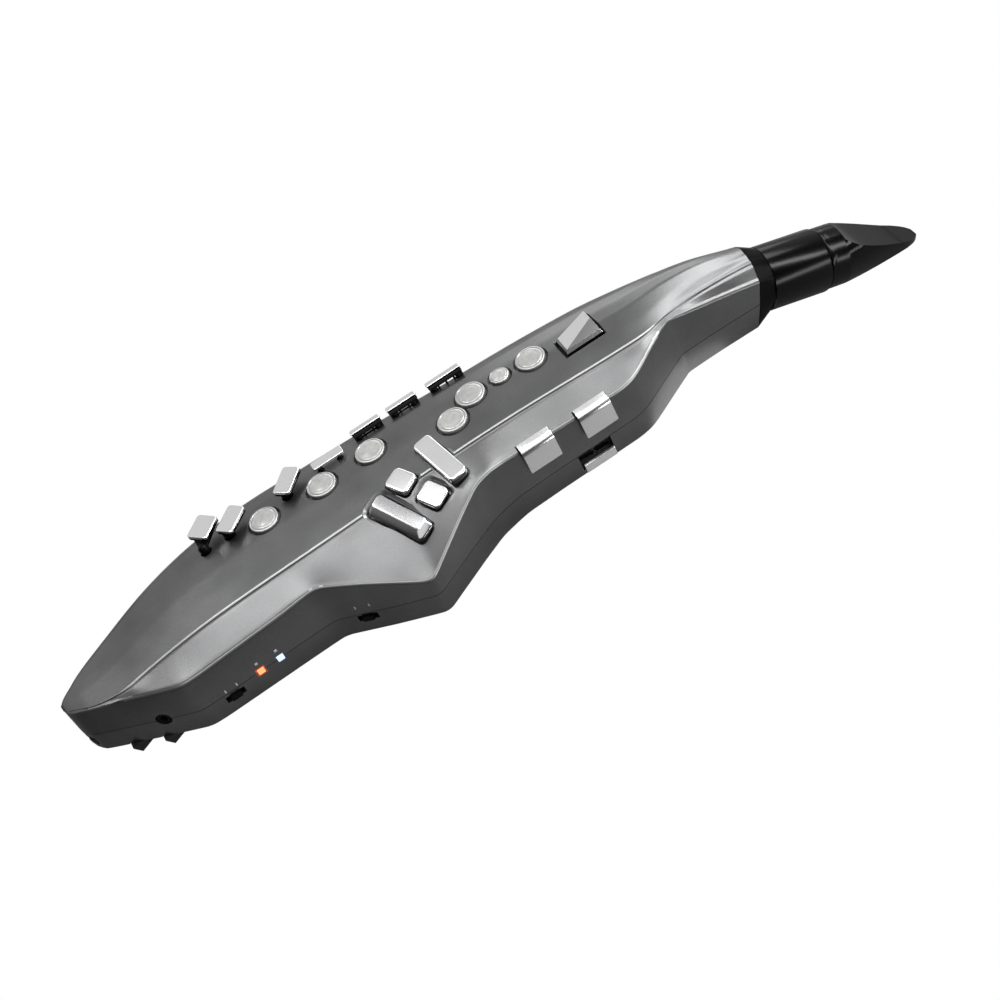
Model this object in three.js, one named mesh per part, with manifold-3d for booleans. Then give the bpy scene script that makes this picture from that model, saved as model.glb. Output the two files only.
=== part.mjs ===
// A digital wind controller: a hand-held electronic wind instrument with a long faceted body,
// spring keys on its front and along both edges, and a reed mouthpiece on a tilted neck.
// Millimetres. +X runs along the body to the mouthpiece, +Z out of the front panel, and the
// origin lies on the flat back. The player's near edge is at -Y, the far edge at +Y.
import * as THREE from "three";
import { mergeVertices } from "three/addons/utils/BufferGeometryUtils.js";
import Module from "manifold-3d";

const wasm = await Module();
wasm.setup();

// Driving dimensions of the body
const BODY_LENGTH = 380;
const BODY_WIDTH = 100;
const BODY_HEIGHT = 43;
const WALL = 2.4;
const PART_HEIGHT = 13.5;
const SEAT_GAP = 0.3;
const CUT_OVERRUN = 2;
const RIM_CHAMFER = 1.2;
const EDGE_BEVEL = 1.2;
const RIDGE_STEP = 1.3;
const RIDGE_RUN = 1.6;
const ROUND_SIDES = 24;
const SMALL_SIDES = 10;
const CORNER_STEPS = 2;

// The body's outline, station by station from the tail to the neck. Each row is the place along
// the length, then across the width the near wall, the ridge and the far wall, and in the height
// the near edge, the ridge, the top of the far wall and the crown, as shares of those three.
const stationShares = [
  [-0.613, -0.036, -0.026, -0.002, 0.660, 0.675, 0.640, 0.010],
  [-0.605, -0.113, -0.100, 0.035, 0.720, 0.738, 0.665, 0.012],
  [-0.582, -0.162, -0.150, 0.098, 0.747, 0.766, 0.686, 0.012],
  [-0.555, -0.215, -0.203, 0.157, 0.756, 0.777, 0.690, 0.012],
  [-0.537, -0.250, -0.195, 0.187, 0.758, 0.792, 0.694, 0.012],
  [-0.511, -0.302, -0.182, 0.239, 0.763, 0.815, 0.700, 0.012],
  [-0.483, -0.356, -0.175, 0.288, 0.767, 0.842, 0.708, 0.012],
  [-0.472, -0.377, -0.173, 0.306, 0.770, 0.853, 0.712, 0.012],
  [-0.449, -0.381, -0.171, 0.338, 0.775, 0.879, 0.720, 0.012],
  [-0.408, -0.378, -0.170, 0.380, 0.795, 0.916, 0.735, 0.012],
  [-0.368, -0.375, -0.170, 0.408, 0.812, 0.935, 0.745, 0.012],
  [-0.326, -0.372, -0.170, 0.423, 0.830, 0.947, 0.755, 0.012],
  [-0.289, -0.370, -0.170, 0.424, 0.865, 0.954, 0.765, 0.012],
  [-0.276, -0.372, -0.170, 0.422, 0.870, 0.956, 0.768, 0.012],
  [-0.247, -0.430, -0.170, 0.414, 0.814, 0.961, 0.775, 0.012],
  [-0.217, -0.490, -0.170, 0.405, 0.740, 0.968, 0.780, 0.012],
  [-0.170, -0.577, -0.170, 0.395, 0.581, 0.977, 0.788, 0.012],
  [-0.157, -0.599, -0.170, 0.392, 0.548, 0.979, 0.790, 0.012],
  [-0.148, -0.584, -0.170, 0.390, 0.560, 0.981, 0.791, 0.012],
  [-0.136, -0.559, -0.170, 0.387, 0.605, 0.983, 0.793, 0.012],
  [-0.110, -0.508, -0.170, 0.378, 0.698, 0.987, 0.796, 0.012],
  [-0.084, -0.456, -0.170, 0.368, 0.786, 0.991, 0.798, 0.012],
  [-0.050, -0.394, -0.170, 0.354, 0.898, 0.998, 0.800, 0.012],
  [-0.026, -0.372, -0.170, 0.344, 0.912, 1.000, 0.800, 0.012],
  [-0.009, -0.359, -0.170, 0.340, 0.884, 1.000, 0.798, 0.012],
  [0.044, -0.354, -0.170, 0.336, 0.835, 0.991, 0.785, 0.012],
  [0.105, -0.353, -0.170, 0.330, 0.814, 0.965, 0.762, 0.018],
  [0.160, -0.351, -0.170, 0.317, 0.793, 0.937, 0.740, 0.026],
  [0.180, -0.337, -0.170, 0.309, 0.793, 0.930, 0.735, 0.030],
  [0.198, -0.301, -0.170, 0.300, 0.805, 0.928, 0.730, 0.034],
  [0.224, -0.246, -0.172, 0.281, 0.851, 0.921, 0.712, 0.040],
  [0.247, -0.198, -0.160, 0.262, 0.860, 0.905, 0.690, 0.052],
  [0.271, -0.174, -0.120, 0.241, 0.830, 0.872, 0.662, 0.080],
  [0.295, -0.168, -0.104, 0.217, 0.785, 0.850, 0.630, 0.094],
  [0.321, -0.170, -0.092, 0.190, 0.735, 0.826, 0.590, 0.098],
  [0.347, -0.173, -0.085, 0.165, 0.688, 0.800, 0.540, 0.092],
  [0.371, -0.176, -0.080, 0.144, 0.640, 0.765, 0.465, 0.056],
  [0.395, -0.178, -0.076, 0.130, 0.590, 0.725, 0.395, 0.036],
  [0.425, -0.179, -0.074, 0.122, 0.525, 0.670, 0.310, 0.022],
];
// The crowned panel from the ridge to the far wall: share of its width, of its drop, of its crown.
const crownShares = [
  [0.18, 0, 0.55],
  [0.42, 0, 1],
  [0.62, 0.09, 1],
  [0.78, 0.25, 0.85],
  [0.89, 0.46, 0.6],
  [0.96, 0.72, 0.3],
];

// Driving dimensions of the neck and mouthpiece
const NECK_TILT = THREE.MathUtils.degToRad(18.5);
const NECK_LIFT = 12.8;
const NECK_SHIFT = -2.6;
const NECK_STATION_SHARE = 0.3993;
const SLEEVE_RADIUS = 15.9;
const SLEEVE_WALL = 3.2;
const FIT_GAP = 0.4;
const SLEEVE_LENGTH = 32.1;
const COLLAR_LENGTH = 8.5;
const COLLAR_SPIGOT = 8;
const COLLAR_SPIGOT_RADIUS = 11.5;
const MOUTHPIECE_RADIUS = 15.2;
const MOUTHPIECE_LENGTH = 56.5;
const TUBE_RADIUS = 4;
const TUBE_BORE = 2.6;

// Driving dimensions of the keys
const KEY_TRAVEL = 1.5;
const STEM_RADIUS = 2.6;
const STEM_FOOT_EXTRA = 1.4;
const STEM_FOOT_HEIGHT = 1.5;
const WELL_FLOOR = 2;
const KEY_SKIRT = 1.6;
const WELL_MARGIN = 1.1;
const CAP_RISE = 1.3;
const CAP_DOME = 1.1;
const ROUND_KEY_RADIUS = 7.5;
const SMALL_KEY_RADIUS = 5;
const BAR_WELL_MARGIN = 0.7;

function cutSolid(geometry) {
  const bare = geometry.clone();
  bare.deleteAttribute("normal");
  bare.deleteAttribute("uv");
  const merged = mergeVertices(bare, 1e-4);
  return new wasm.Manifold(new wasm.Mesh({
    numProp: 3,
    vertProperties: new Float32Array(merged.attributes.position.array),
    triVerts: new Uint32Array(merged.index.array),
  }));
}

function geometryOf(manifold) {
  const mesh = manifold.getMesh();
  const geometry = new THREE.BufferGeometry();
  geometry.setAttribute("position", new THREE.BufferAttribute(mesh.vertProperties, 3));
  geometry.setIndex(new THREE.BufferAttribute(mesh.triVerts, 1));
  return geometry;
}

const instrument = new THREE.Group();

function finish(color, roughness, metalness) {
  return new THREE.MeshStandardMaterial({ color, roughness, metalness });
}
const panelFinish = finish(0x5f6062, 0.42, 0.6);
const chromeFinish = finish(0xc9cbcc, 0.2, 0.9);
const capFinish = finish(0xb9bab8, 0.35, 0.5);
const glossBlack = finish(0x0c0c0d, 0.12, 0);
const mattBlack = finish(0x1c1c1e, 0.6, 0);
const rubberBlack = finish(0x19191a, 0.85, 0);
const boardGreen = finish(0x1d5a37, 0.55, 0.1);
const cellJacket = finish(0x8c8f92, 0.4, 0.3);
const steelFinish = finish(0x9a9c9e, 0.3, 0.9);
const amberLens = finish(0xff9a3c, 0.3, 0);
const blueLens = finish(0x9fc4ff, 0.3, 0);

function addPiece(name, shape, material, parent = instrument) {
  const geometry = shape.isBufferGeometry ? shape : geometryOf(shape);
  geometry.computeVertexNormals();
  const mesh = new THREE.Mesh(geometry, material.clone());
  mesh.name = name;
  parent.add(mesh);
  return mesh;
}

function moved(shape, x, y, z) {
  return shape.translate([x, y, z]);
}

// Plain solids, each centred on its own origin in plan and standing on z = 0
function box(sizeX, sizeY, sizeZ) {
  return cutSolid(new THREE.BoxGeometry(sizeX, sizeY, sizeZ)).translate([0, 0, sizeZ / 2]);
}
function post(radius, height, sides = SMALL_SIDES, topRadius = radius) {
  const geometry = new THREE.CylinderGeometry(topRadius, radius, height, sides);
  geometry.rotateX(Math.PI / 2);
  return cutSolid(geometry).translate([0, 0, height / 2]);
}
function roundedShape(sizeX, sizeY, corner) {
  const shape = new THREE.Shape();
  const halfX = sizeX / 2;
  const halfY = sizeY / 2;
  shape.moveTo(halfX, corner - halfY);
  shape.lineTo(halfX, halfY - corner);
  shape.absarc(halfX - corner, halfY - corner, corner, 0, Math.PI / 2);
  shape.absarc(corner - halfX, halfY - corner, corner, Math.PI / 2, Math.PI);
  shape.absarc(corner - halfX, corner - halfY, corner, Math.PI, Math.PI * 1.5);
  shape.absarc(halfX - corner, corner - halfY, corner, Math.PI * 1.5, Math.PI * 2);
  return shape;
}
function roundedPlate(sizeX, sizeY, corner, height, bevel = 0) {
  const outline = roundedShape(sizeX - 2 * bevel, sizeY - 2 * bevel, corner);
  const geometry = new THREE.ExtrudeGeometry(outline, {
    depth: height - 2 * bevel,
    curveSegments: CORNER_STEPS,
    bevelEnabled: bevel > 0,
    bevelSize: bevel,
    bevelThickness: bevel,
    bevelSegments: 1,
  });
  geometry.translate(0, 0, bevel);
  return cutSolid(geometry);
}
function lathed(profile, sides = ROUND_SIDES) {
  const points = profile.map(([radius, height]) => new THREE.Vector2(radius, height));
  const geometry = new THREE.LatheGeometry(points, sides);
  geometry.rotateX(Math.PI / 2);
  return cutSolid(geometry);
}
function prismAlongX(outline, length) {
  const shape = new THREE.Shape(outline.map(([y, z]) => new THREE.Vector2(y, z)));
  const geometry = new THREE.ExtrudeGeometry(shape, { depth: length, bevelEnabled: false });
  geometry.translate(0, 0, -length / 2);
  const axes = new THREE.Matrix4().makeBasis(
    new THREE.Vector3(0, 1, 0),
    new THREE.Vector3(0, 0, 1),
    new THREE.Vector3(1, 0, 0),
  );
  geometry.applyMatrix4(axes);
  return cutSolid(geometry);
}
function prismAlongY(outline, width) {
  const shape = new THREE.Shape(outline.map(([x, z]) => new THREE.Vector2(x, z)));
  const geometry = new THREE.ExtrudeGeometry(shape, { depth: width, bevelEnabled: false });
  geometry.translate(0, 0, -width / 2);
  geometry.rotateX(Math.PI / 2);
  return cutSolid(geometry);
}

// A closed skin through a row of sections that all have the same number of points
function loft(sections) {
  const positions = [];
  const count = sections[0].length;
  const quad = (a, b, c, d) => positions.push(...a, ...b, ...c, ...a, ...c, ...d);
  for (let row = 0; row + 1 < sections.length; row += 1) {
    for (let k = 0; k < count; k += 1) {
      const next = (k + 1) % count;
      quad(sections[row][k], sections[row + 1][k], sections[row + 1][next], sections[row][next]);
    }
  }
  const fan = (section, turned) => {
    const centre = [0, 1, 2].map((axis) => section.reduce((sum, point) => sum + point[axis], 0) / count);
    section.forEach((point, k) => {
      const next = section[(k + 1) % count];
      positions.push(...centre, ...(turned ? next : point), ...(turned ? point : next));
    });
  };
  fan(sections[0], false);
  fan(sections[sections.length - 1], true);
  const geometry = new THREE.BufferGeometry();
  geometry.setAttribute("position", new THREE.Float32BufferAttribute(positions, 3));
  return cutSolid(geometry);
}

// The body's skin at any place along its length
const stations = stationShares.map(([along, near, ridge, far, nearTop, ridgeTop, farTop, crown]) => ({
  x: along * BODY_LENGTH,
  near: near * BODY_WIDTH,
  ridge: ridge * BODY_WIDTH,
  far: far * BODY_WIDTH,
  nearTop: nearTop * BODY_HEIGHT,
  ridgeTop: ridgeTop * BODY_HEIGHT,
  farTop: farTop * BODY_HEIGHT,
  crown: crown * BODY_HEIGHT,
}));
const TAIL_X = stations[0].x;
const LAST_X = stations[stations.length - 1].x;

function stationAt(x) {
  const found = stations.findIndex((station) => station.x >= x);
  const after = stations[Math.max(found, 1)];
  const before = stations[Math.max(found, 1) - 1];
  const share = (x - before.x) / (after.x - before.x);
  const result = {};
  for (const key of Object.keys(after)) {
    result[key] = before[key] + share * (after[key] - before[key]);
  }
  return result;
}

function topLine(station) {
  const { near, ridge, far, nearTop, ridgeTop, farTop, crown } = station;
  const room = ridge - near - EDGE_BEVEL;
  const run = Math.min(RIDGE_RUN, room / 2);
  const step = Math.min(RIDGE_STEP, (ridgeTop - nearTop) / 2);
  const line = [
    [near, nearTop - EDGE_BEVEL],
    [near + Math.min(EDGE_BEVEL, room / 2), nearTop],
    [ridge - run, ridgeTop - step],
    [ridge, ridgeTop],
  ];
  for (const [across, drop, rise] of crownShares) {
    const height = ridgeTop - drop * (ridgeTop - farTop) + rise * crown;
    line.push([ridge + across * (far - ridge), height]);
  }
  line.push([far, farTop]);
  return line;
}

function panelHeight(x, y) {
  const line = topLine(stationAt(x));
  const found = line.findIndex(([across]) => across >= y);
  const [y1, z1] = line[Math.max(found, 1)];
  const [y0, z0] = line[Math.max(found, 1) - 1];
  return z0 + ((y - y0) / (y1 - y0)) * (z1 - z0);
}

function outerSection(station) {
  const { near, far } = station;
  return [
    [near + RIM_CHAMFER / 2, 0],
    [near, RIM_CHAMFER],
    ...topLine(station),
    [far, RIM_CHAMFER],
    [far - RIM_CHAMFER / 2, 0],
  ].map(([y, z]) => [station.x, y, z]);
}

const INNER_NEAR = WALL * 1.4;
const INNER_FAR = WALL * 1.25;
function innerSection(station) {
  const inner = {
    ...station,
    near: station.near + INNER_NEAR,
    ridge: station.ridge + WALL / 2,
    far: station.far - INNER_FAR,
    nearTop: station.nearTop - WALL,
    ridgeTop: station.ridgeTop - WALL * 1.2,
    farTop: station.farTop - WALL / 2,
  };
  return [
    [inner.near, WALL],
    ...topLine(inner),
    [inner.far, WALL],
  ].map(([y, z]) => [station.x, y, z]);
}

const INNER_TAIL_X = stations[1].x + WALL;
const INNER_NECK_X = stations[stations.length - 4].x;
const innerStations = [
  stationAt(INNER_TAIL_X),
  ...stations.filter((station) => station.x > INNER_TAIL_X + WALL && station.x < INNER_NECK_X - WALL),
  stationAt(INNER_NECK_X),
];

// The neck's own frame: X along the mouthpiece's axis, origin where the collar meets the body
const neck = new THREE.Group();
const NECK_X = NECK_STATION_SHARE * BODY_LENGTH - COLLAR_LENGTH * Math.cos(NECK_TILT);
neck.position.set(NECK_X, NECK_SHIFT, NECK_LIFT + COLLAR_LENGTH * Math.sin(NECK_TILT));
neck.rotation.y = NECK_TILT;
neck.updateMatrix();
instrument.add(neck);
function inNeck(shape) {
  return shape.transform(neck.matrix.toArray());
}
function alongNeck(shape) {
  return shape.rotate([0, 90, 0]);
}

const neckCut = inNeck(moved(box(BODY_WIDTH, BODY_WIDTH, 2 * BODY_WIDTH), BODY_WIDTH / 2, 0, -BODY_WIDTH));
const outerBody = loft(stations.map(outerSection)).subtract(neckCut);
const innerBody = loft(innerStations.map(innerSection));
const spigotRoom = alongNeck(post(COLLAR_SPIGOT_RADIUS + SEAT_GAP, COLLAR_SPIGOT + CUT_OVERRUN, ROUND_SIDES));
const tubeRoom = alongNeck(post(TUBE_RADIUS + SEAT_GAP, 3 * COLLAR_SPIGOT));
const neckHole = inNeck(
  moved(spigotRoom, -COLLAR_SPIGOT - SEAT_GAP, 0, 0).add(moved(tubeRoom, -3 * COLLAR_SPIGOT, 0, 0)),
);
const hollowBody = outerBody.subtract(innerBody);

const upperHalf = (shape) => shape.trimByPlane([0, 0, 1], PART_HEIGHT + SEAT_GAP / 2);
const lowerHalf = (shape) => shape.trimByPlane([0, 0, -1], SEAT_GAP / 2 - PART_HEIGHT);
const joined = (shapes) => wasm.Manifold.union(shapes);

// Material that a shell gains inside, and what is then cut from it
const upperBosses = [];
const upperCuts = [];
const lowerBosses = [];
const lowerCuts = [];
const upperPillars = [];
const lowerWalls = [];

// The key's stem passes its well's floor, and its foot under the floor keeps the key from lifting
// out. Heights run from the panel: cap underside, well floor, floor underside, foot.
const FLOOR_TOP = -(KEY_SKIRT + KEY_TRAVEL + SEAT_GAP);
const FLOOR_BOTTOM = FLOOR_TOP - WELL_FLOOR;
const FOOT_TOP = FLOOR_BOTTOM - SEAT_GAP;
const FOOT_BOTTOM = FOOT_TOP - STEM_FOOT_HEIGHT;
const WELL_REACH = 4 * KEY_SKIRT;
const WELL_WALL = WALL * 0.8;

function stem(radius, underside, footExtra = STEM_FOOT_EXTRA) {
  const foot = moved(post(radius + footExtra, STEM_FOOT_HEIGHT), 0, 0, FOOT_BOTTOM);
  const shank = moved(post(radius, underside - FOOT_BOTTOM + SEAT_GAP), 0, 0, FOOT_BOTTOM);
  return foot.add(shank);
}
function stemHole(radius) {
  return moved(post(radius + SEAT_GAP, WELL_FLOOR + 2 * CUT_OVERRUN), 0, 0, FLOOR_BOTTOM - CUT_OVERRUN);
}
function seatInPanel(mesh, wellBlock, wellCut) {
  mesh.updateMatrix();
  const place = mesh.matrix.toArray();
  upperBosses.push(wellBlock.transform(place));
  upperCuts.push(wellCut.transform(place));
}

// Round playing keys: a domed cap in a ring-shaped well
const roundKeyShares = [
  ["low_key_1", -0.285, 0.160, 1],
  ["low_key_2", -0.2025, 0.135, 1],
  ["low_key_3", -0.130, 0.141, 1],
  ["upper_key_1", -0.0263, -0.004, 1],
  ["upper_key_2", 0.0108, 0.081, 1],
  ["trill_key", 0.0535, 0.082, SMALL_KEY_RADIUS / ROUND_KEY_RADIUS],
  ["upper_key_3", 0.097, 0.070, 1],
];
const RIM_DROP = CAP_RISE * 0.25;
function roundKey(radius) {
  const profile = [
    [0, -KEY_SKIRT],
    [radius, -KEY_SKIRT],
    [radius, CAP_RISE - RIM_DROP],
    [radius - RIM_DROP, CAP_RISE],
    [radius * 0.6, CAP_RISE + CAP_DOME * 0.75],
    [0, CAP_RISE + CAP_DOME],
  ];
  return lathed(profile).add(stem(STEM_RADIUS, -KEY_SKIRT));
}
for (const [name, along, across, sizeShare] of roundKeyShares) {
  const radius = ROUND_KEY_RADIUS * sizeShare;
  const key = addPiece(name, roundKey(radius), capFinish);
  const x = along * BODY_LENGTH;
  const y = across * BODY_WIDTH;
  key.position.set(x, y, panelHeight(x, y));
  const wellRadius = radius + WELL_MARGIN;
  const block = moved(post(wellRadius + WELL_WALL, WELL_REACH - FLOOR_BOTTOM, ROUND_SIDES), 0, 0, FLOOR_BOTTOM);
  const well = moved(post(wellRadius, WELL_REACH - FLOOR_TOP, ROUND_SIDES), 0, 0, FLOOR_TOP);
  seatInPanel(key, block, well.add(stemHole(STEM_RADIUS)));
}

// Plate keys by the right hand: chromed bars and squares in close wells, each leaning with the
// facet that it stands on. Rows: place, size along and across the key, turn, lean.
const PLATE_RISE = 3.2;
const PLATE_BEVEL = 0.7;
const PLATE_CORNER = 2.4;
const BAR_KEY = { long: 32, wide: 10.5 };
const SQUARE_KEY = { long: 13.6, wide: 12.4 };
const LOW_BAR_KEY = { long: 32, wide: 13.5 };
const plateKeyShares = [
  ["table_key_upper", -0.0665, -0.170, BAR_KEY, -80, 6],
  ["table_key_left", -0.1205, -0.150, SQUARE_KEY, -62, 8],
  ["table_key_right", -0.0985, -0.290, SQUARE_KEY, -61, 15],
  ["table_key_lower", -0.1435, -0.312, LOW_BAR_KEY, -65, 15],
];
for (const [name, along, across, size, turn, lean] of plateKeyShares) {
  const height = KEY_SKIRT + PLATE_RISE;
  const cap = moved(roundedPlate(size.long, size.wide, PLATE_CORNER, height, PLATE_BEVEL), 0, 0, -KEY_SKIRT);
  const key = addPiece(name, cap.add(stem(STEM_RADIUS, -KEY_SKIRT)), chromeFinish);
  const x = along * BODY_LENGTH;
  const y = across * BODY_WIDTH;
  key.position.set(x, y, panelHeight(x, y));
  key.rotation.set(THREE.MathUtils.degToRad(lean), 0, THREE.MathUtils.degToRad(turn));
  const long = size.long + 2 * BAR_WELL_MARGIN;
  const wide = size.wide + 2 * BAR_WELL_MARGIN;
  const deep = WELL_REACH - FLOOR_BOTTOM;
  const block = roundedPlate(long + 2 * WELL_WALL, wide + 2 * WELL_WALL, PLATE_CORNER + WELL_WALL, deep);
  const well = roundedPlate(long, wide, PLATE_CORNER, WELL_REACH - FLOOR_TOP);
  const cut = moved(well, 0, 0, FLOOR_TOP).add(stemHole(STEM_RADIUS));
  seatInPanel(key, moved(block, 0, 0, FLOOR_BOTTOM), cut);
}

// The wedge key by the neck: a level strip along its far side, and a facet that falls from it
const WEDGE = { long: 20.4, nearDeep: 11.8, farDeep: 17, rise: 4.6, strip: 8.5, fall: 3.4 };
const wedgePlaceShares = [0.1622, 0.018];
{
  const outline = new THREE.Shape([
    new THREE.Vector2(-WEDGE.long / 2, -WEDGE.nearDeep / 2),
    new THREE.Vector2(WEDGE.long / 2, -WEDGE.nearDeep / 2),
    new THREE.Vector2(WEDGE.long / 2, WEDGE.farDeep - WEDGE.nearDeep / 2),
    new THREE.Vector2(-WEDGE.long / 2, WEDGE.nearDeep / 2),
  ]);
  const body = (margin, height) => {
    const geometry = new THREE.ExtrudeGeometry(outline, {
      depth: height - margin / 4,
      bevelEnabled: margin > 0,
      bevelThickness: margin / 8,
      bevelSize: margin,
      bevelSegments: 1,
    });
    geometry.translate(0, 0, margin / 8);
    return cutSolid(geometry);
  };
  const x = wedgePlaceShares[0] * BODY_LENGTH;
  const y = wedgePlaceShares[1] * BODY_WIDTH;
  const stripTurn = Math.atan2(WEDGE.farDeep - WEDGE.nearDeep, WEDGE.long);
  const slope = Math.atan2(WEDGE.fall, WEDGE.farDeep - WEDGE.strip);
  const fallNormal = [
    Math.sin(slope) * Math.sin(stripTurn + Math.PI / 8),
    -Math.sin(slope) * Math.cos(stripTurn + Math.PI / 8),
    Math.cos(slope),
  ];
  const crease = [-WEDGE.long / 2, -WEDGE.nearDeep / 2 + WEDGE.strip / 4, WEDGE.rise];
  const creaseOffset = fallNormal[0] * crease[0] + fallNormal[1] * crease[1] + fallNormal[2] * crease[2];
  const cap = moved(body(0, KEY_SKIRT + WEDGE.rise), 0, 0, -KEY_SKIRT)
    .trimByPlane(fallNormal.map((part) => -part), -creaseOffset);
  const key = addPiece("thumb_ramp_key", cap.add(stem(STEM_RADIUS, -KEY_SKIRT)), chromeFinish);
  key.position.set(x, y, panelHeight(x, y));
  const block = moved(body(BAR_WELL_MARGIN + WELL_WALL, WELL_REACH - FLOOR_BOTTOM), 0, 0, FLOOR_BOTTOM);
  const well = moved(body(BAR_WELL_MARGIN, WELL_REACH - FLOOR_TOP), 0, 0, FLOOR_TOP);
  seatInPanel(key, block, well.add(stemHole(STEM_RADIUS)));
}

// Lever keys that stand over the far edge: a plate on an arm, and a round stalk through the
// panel. Rows: stalk's place, plate's centre, plate size, turn.
const LEVER_LEVEL_SHARE = 1.09;
const LEVER_THICK = 2.2;
const LEVER_CORNER = 1.2;
const LEVER_ARM = { wide: 5, thick: 1.8 };
const STALK_RADIUS = 2.3;
const LEVER_LARGE = { long: 13.5, wide: 11.4 };
const LEVER_SMALL = { long: 13.5, wide: 8 };
const leverKeyShares = [
  ["side_lever_1", -0.3660, 0.222, -0.3535, 0.302, LEVER_LARGE, 41],
  ["side_lever_2", -0.3308, 0.217, -0.3216, 0.245, LEVER_SMALL, 41],
  ["side_lever_3", -0.2450, 0.220, -0.2371, 0.252, LEVER_SMALL, 46],
];
for (const [name, along, across, plateAlong, plateAcross, size, turn] of leverKeyShares) {
  const x = along * BODY_LENGTH;
  const y = across * BODY_WIDTH;
  const offsetX = plateAlong * BODY_LENGTH - x;
  const offsetY = plateAcross * BODY_WIDTH - y;
  const armTop = LEVER_LEVEL_SHARE * BODY_HEIGHT - LEVER_THICK - panelHeight(x, y);
  const bevel = LEVER_THICK / 4;
  const plate = roundedPlate(size.long, size.wide, LEVER_CORNER, LEVER_THICK, bevel).rotate([0, 0, turn]);
  const armLong = Math.hypot(offsetX, offsetY) + LEVER_ARM.wide;
  const arm = box(armLong, LEVER_ARM.wide, LEVER_ARM.thick + SEAT_GAP)
    .translate([armLong / 2 - LEVER_ARM.wide / 2, 0, armTop - LEVER_ARM.thick])
    .rotate([0, 0, THREE.MathUtils.radToDeg(Math.atan2(offsetY, offsetX))]);
  const stalk = stem(STALK_RADIUS, armTop - LEVER_ARM.thick);
  const key = addPiece(name, joined([moved(plate, offsetX, offsetY, armTop), arm, stalk]), chromeFinish);
  key.position.set(x, y, panelHeight(x, y));
  const block = moved(post(STALK_RADIUS + WELL_WALL, WELL_REACH - FLOOR_BOTTOM), 0, 0, FLOOR_BOTTOM);
  seatInPanel(key, block, moved(post(STALK_RADIUS + SEAT_GAP, 2 * WELL_REACH), 0, 0, -WELL_REACH));
}

// Strip keys along the far edge: a narrow plate on two round legs
const STRIP_THICK = 1.6;
const STRIP_WIDE = 5.2;
const STRIP_LEG_RADIUS = 1.5;
const STRIP_LEG_INSET = 3;
const STRIP_LEG_SHIFT = 1.9;
const STRIP_FOOT_EXTRA = 0.8;
const STRIP_LONG = 19;
const stripKeyShares = [
  ["side_strip_1", -0.1785, 0.258, 0.88, 2.0],
  ["side_strip_2", -0.1165, 0.300, 0.86, 2.6],
  ["side_strip_3", -0.0635, 0.300, 0.86, 2.8],
  ["side_strip_4", -0.0015, 0.300, 1, 3.3],
];
for (const [name, along, across, lengthShare, lift] of stripKeyShares) {
  const long = STRIP_LONG * lengthShare;
  const legX = long / 2 - STRIP_LEG_INSET;
  const plate = moved(roundedPlate(long, STRIP_WIDE, STRIP_THICK / 2, STRIP_THICK), 0, 0, lift);
  const leg = stem(STRIP_LEG_RADIUS, lift, STRIP_FOOT_EXTRA);
  const legs = [-legX, legX].map((offset) => moved(leg, offset, -STRIP_LEG_SHIFT, 0));
  const key = addPiece(name, joined([plate, ...legs]), chromeFinish);
  const x = along * BODY_LENGTH;
  const y = across * BODY_WIDTH;
  key.position.set(x, y, panelHeight(x, y));
  const width = 2 * (STRIP_LEG_RADIUS + SEAT_GAP + WELL_WALL);
  const bar = box(2 * legX + width, width, WELL_REACH - FLOOR_BOTTOM);
  const block = moved(bar, 0, -STRIP_LEG_SHIFT, FLOOR_BOTTOM);
  const hole = post(STRIP_LEG_RADIUS + SEAT_GAP, 2 * WELL_REACH);
  const holes = [-legX, legX].map((offset) => moved(hole, offset, -STRIP_LEG_SHIFT, -WELL_REACH));
  seatInPanel(key, block, joined(holes));
}

// Palm keys bent over the near edge: a flange in a notch and a face down the wall. A bead under
// the flange's inner side lies in a groove, and the key rocks on it.
const PALM = { long: 16.8, thick: 1.6, flange: 3.4, face: 14.5, stand: 1.4, bead: 1.1 };
const PALM_TOP = 2.2;
const PALM_NOTCH = 2.6;
const palmKeyShares = [
  ["palm_key_1", 0.0385],
  ["palm_key_2", 0.1190],
];
const beadY = PALM.flange - PALM.bead;
const beadZ = SEAT_GAP - PALM_NOTCH + PALM.bead + SEAT_GAP;
function palmKey() {
  const outer = -PALM.stand - PALM.thick;
  const plate = prismAlongX([
    [outer, PALM_TOP - PALM.face],
    [-PALM.stand, PALM_TOP - PALM.face],
    [-PALM.stand, PALM_TOP - 2 * PALM.thick],
    [PALM.thick - PALM.stand, PALM_TOP - PALM.thick],
    [PALM.flange, PALM_TOP - PALM.thick],
    [PALM.flange, PALM_TOP],
    [outer + PALM.thick, PALM_TOP],
    [outer, PALM_TOP - PALM.thick],
  ], PALM.long);
  const bead = post(PALM.bead, PALM.long).rotate([0, 90, 0]).translate([-PALM.long / 2, beadY, beadZ]);
  const web = box(PALM.long, PALM.bead, PALM_TOP - PALM.thick / 2 - beadZ);
  return joined([plate, bead, moved(web, 0, beadY, beadZ)]);
}
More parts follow.
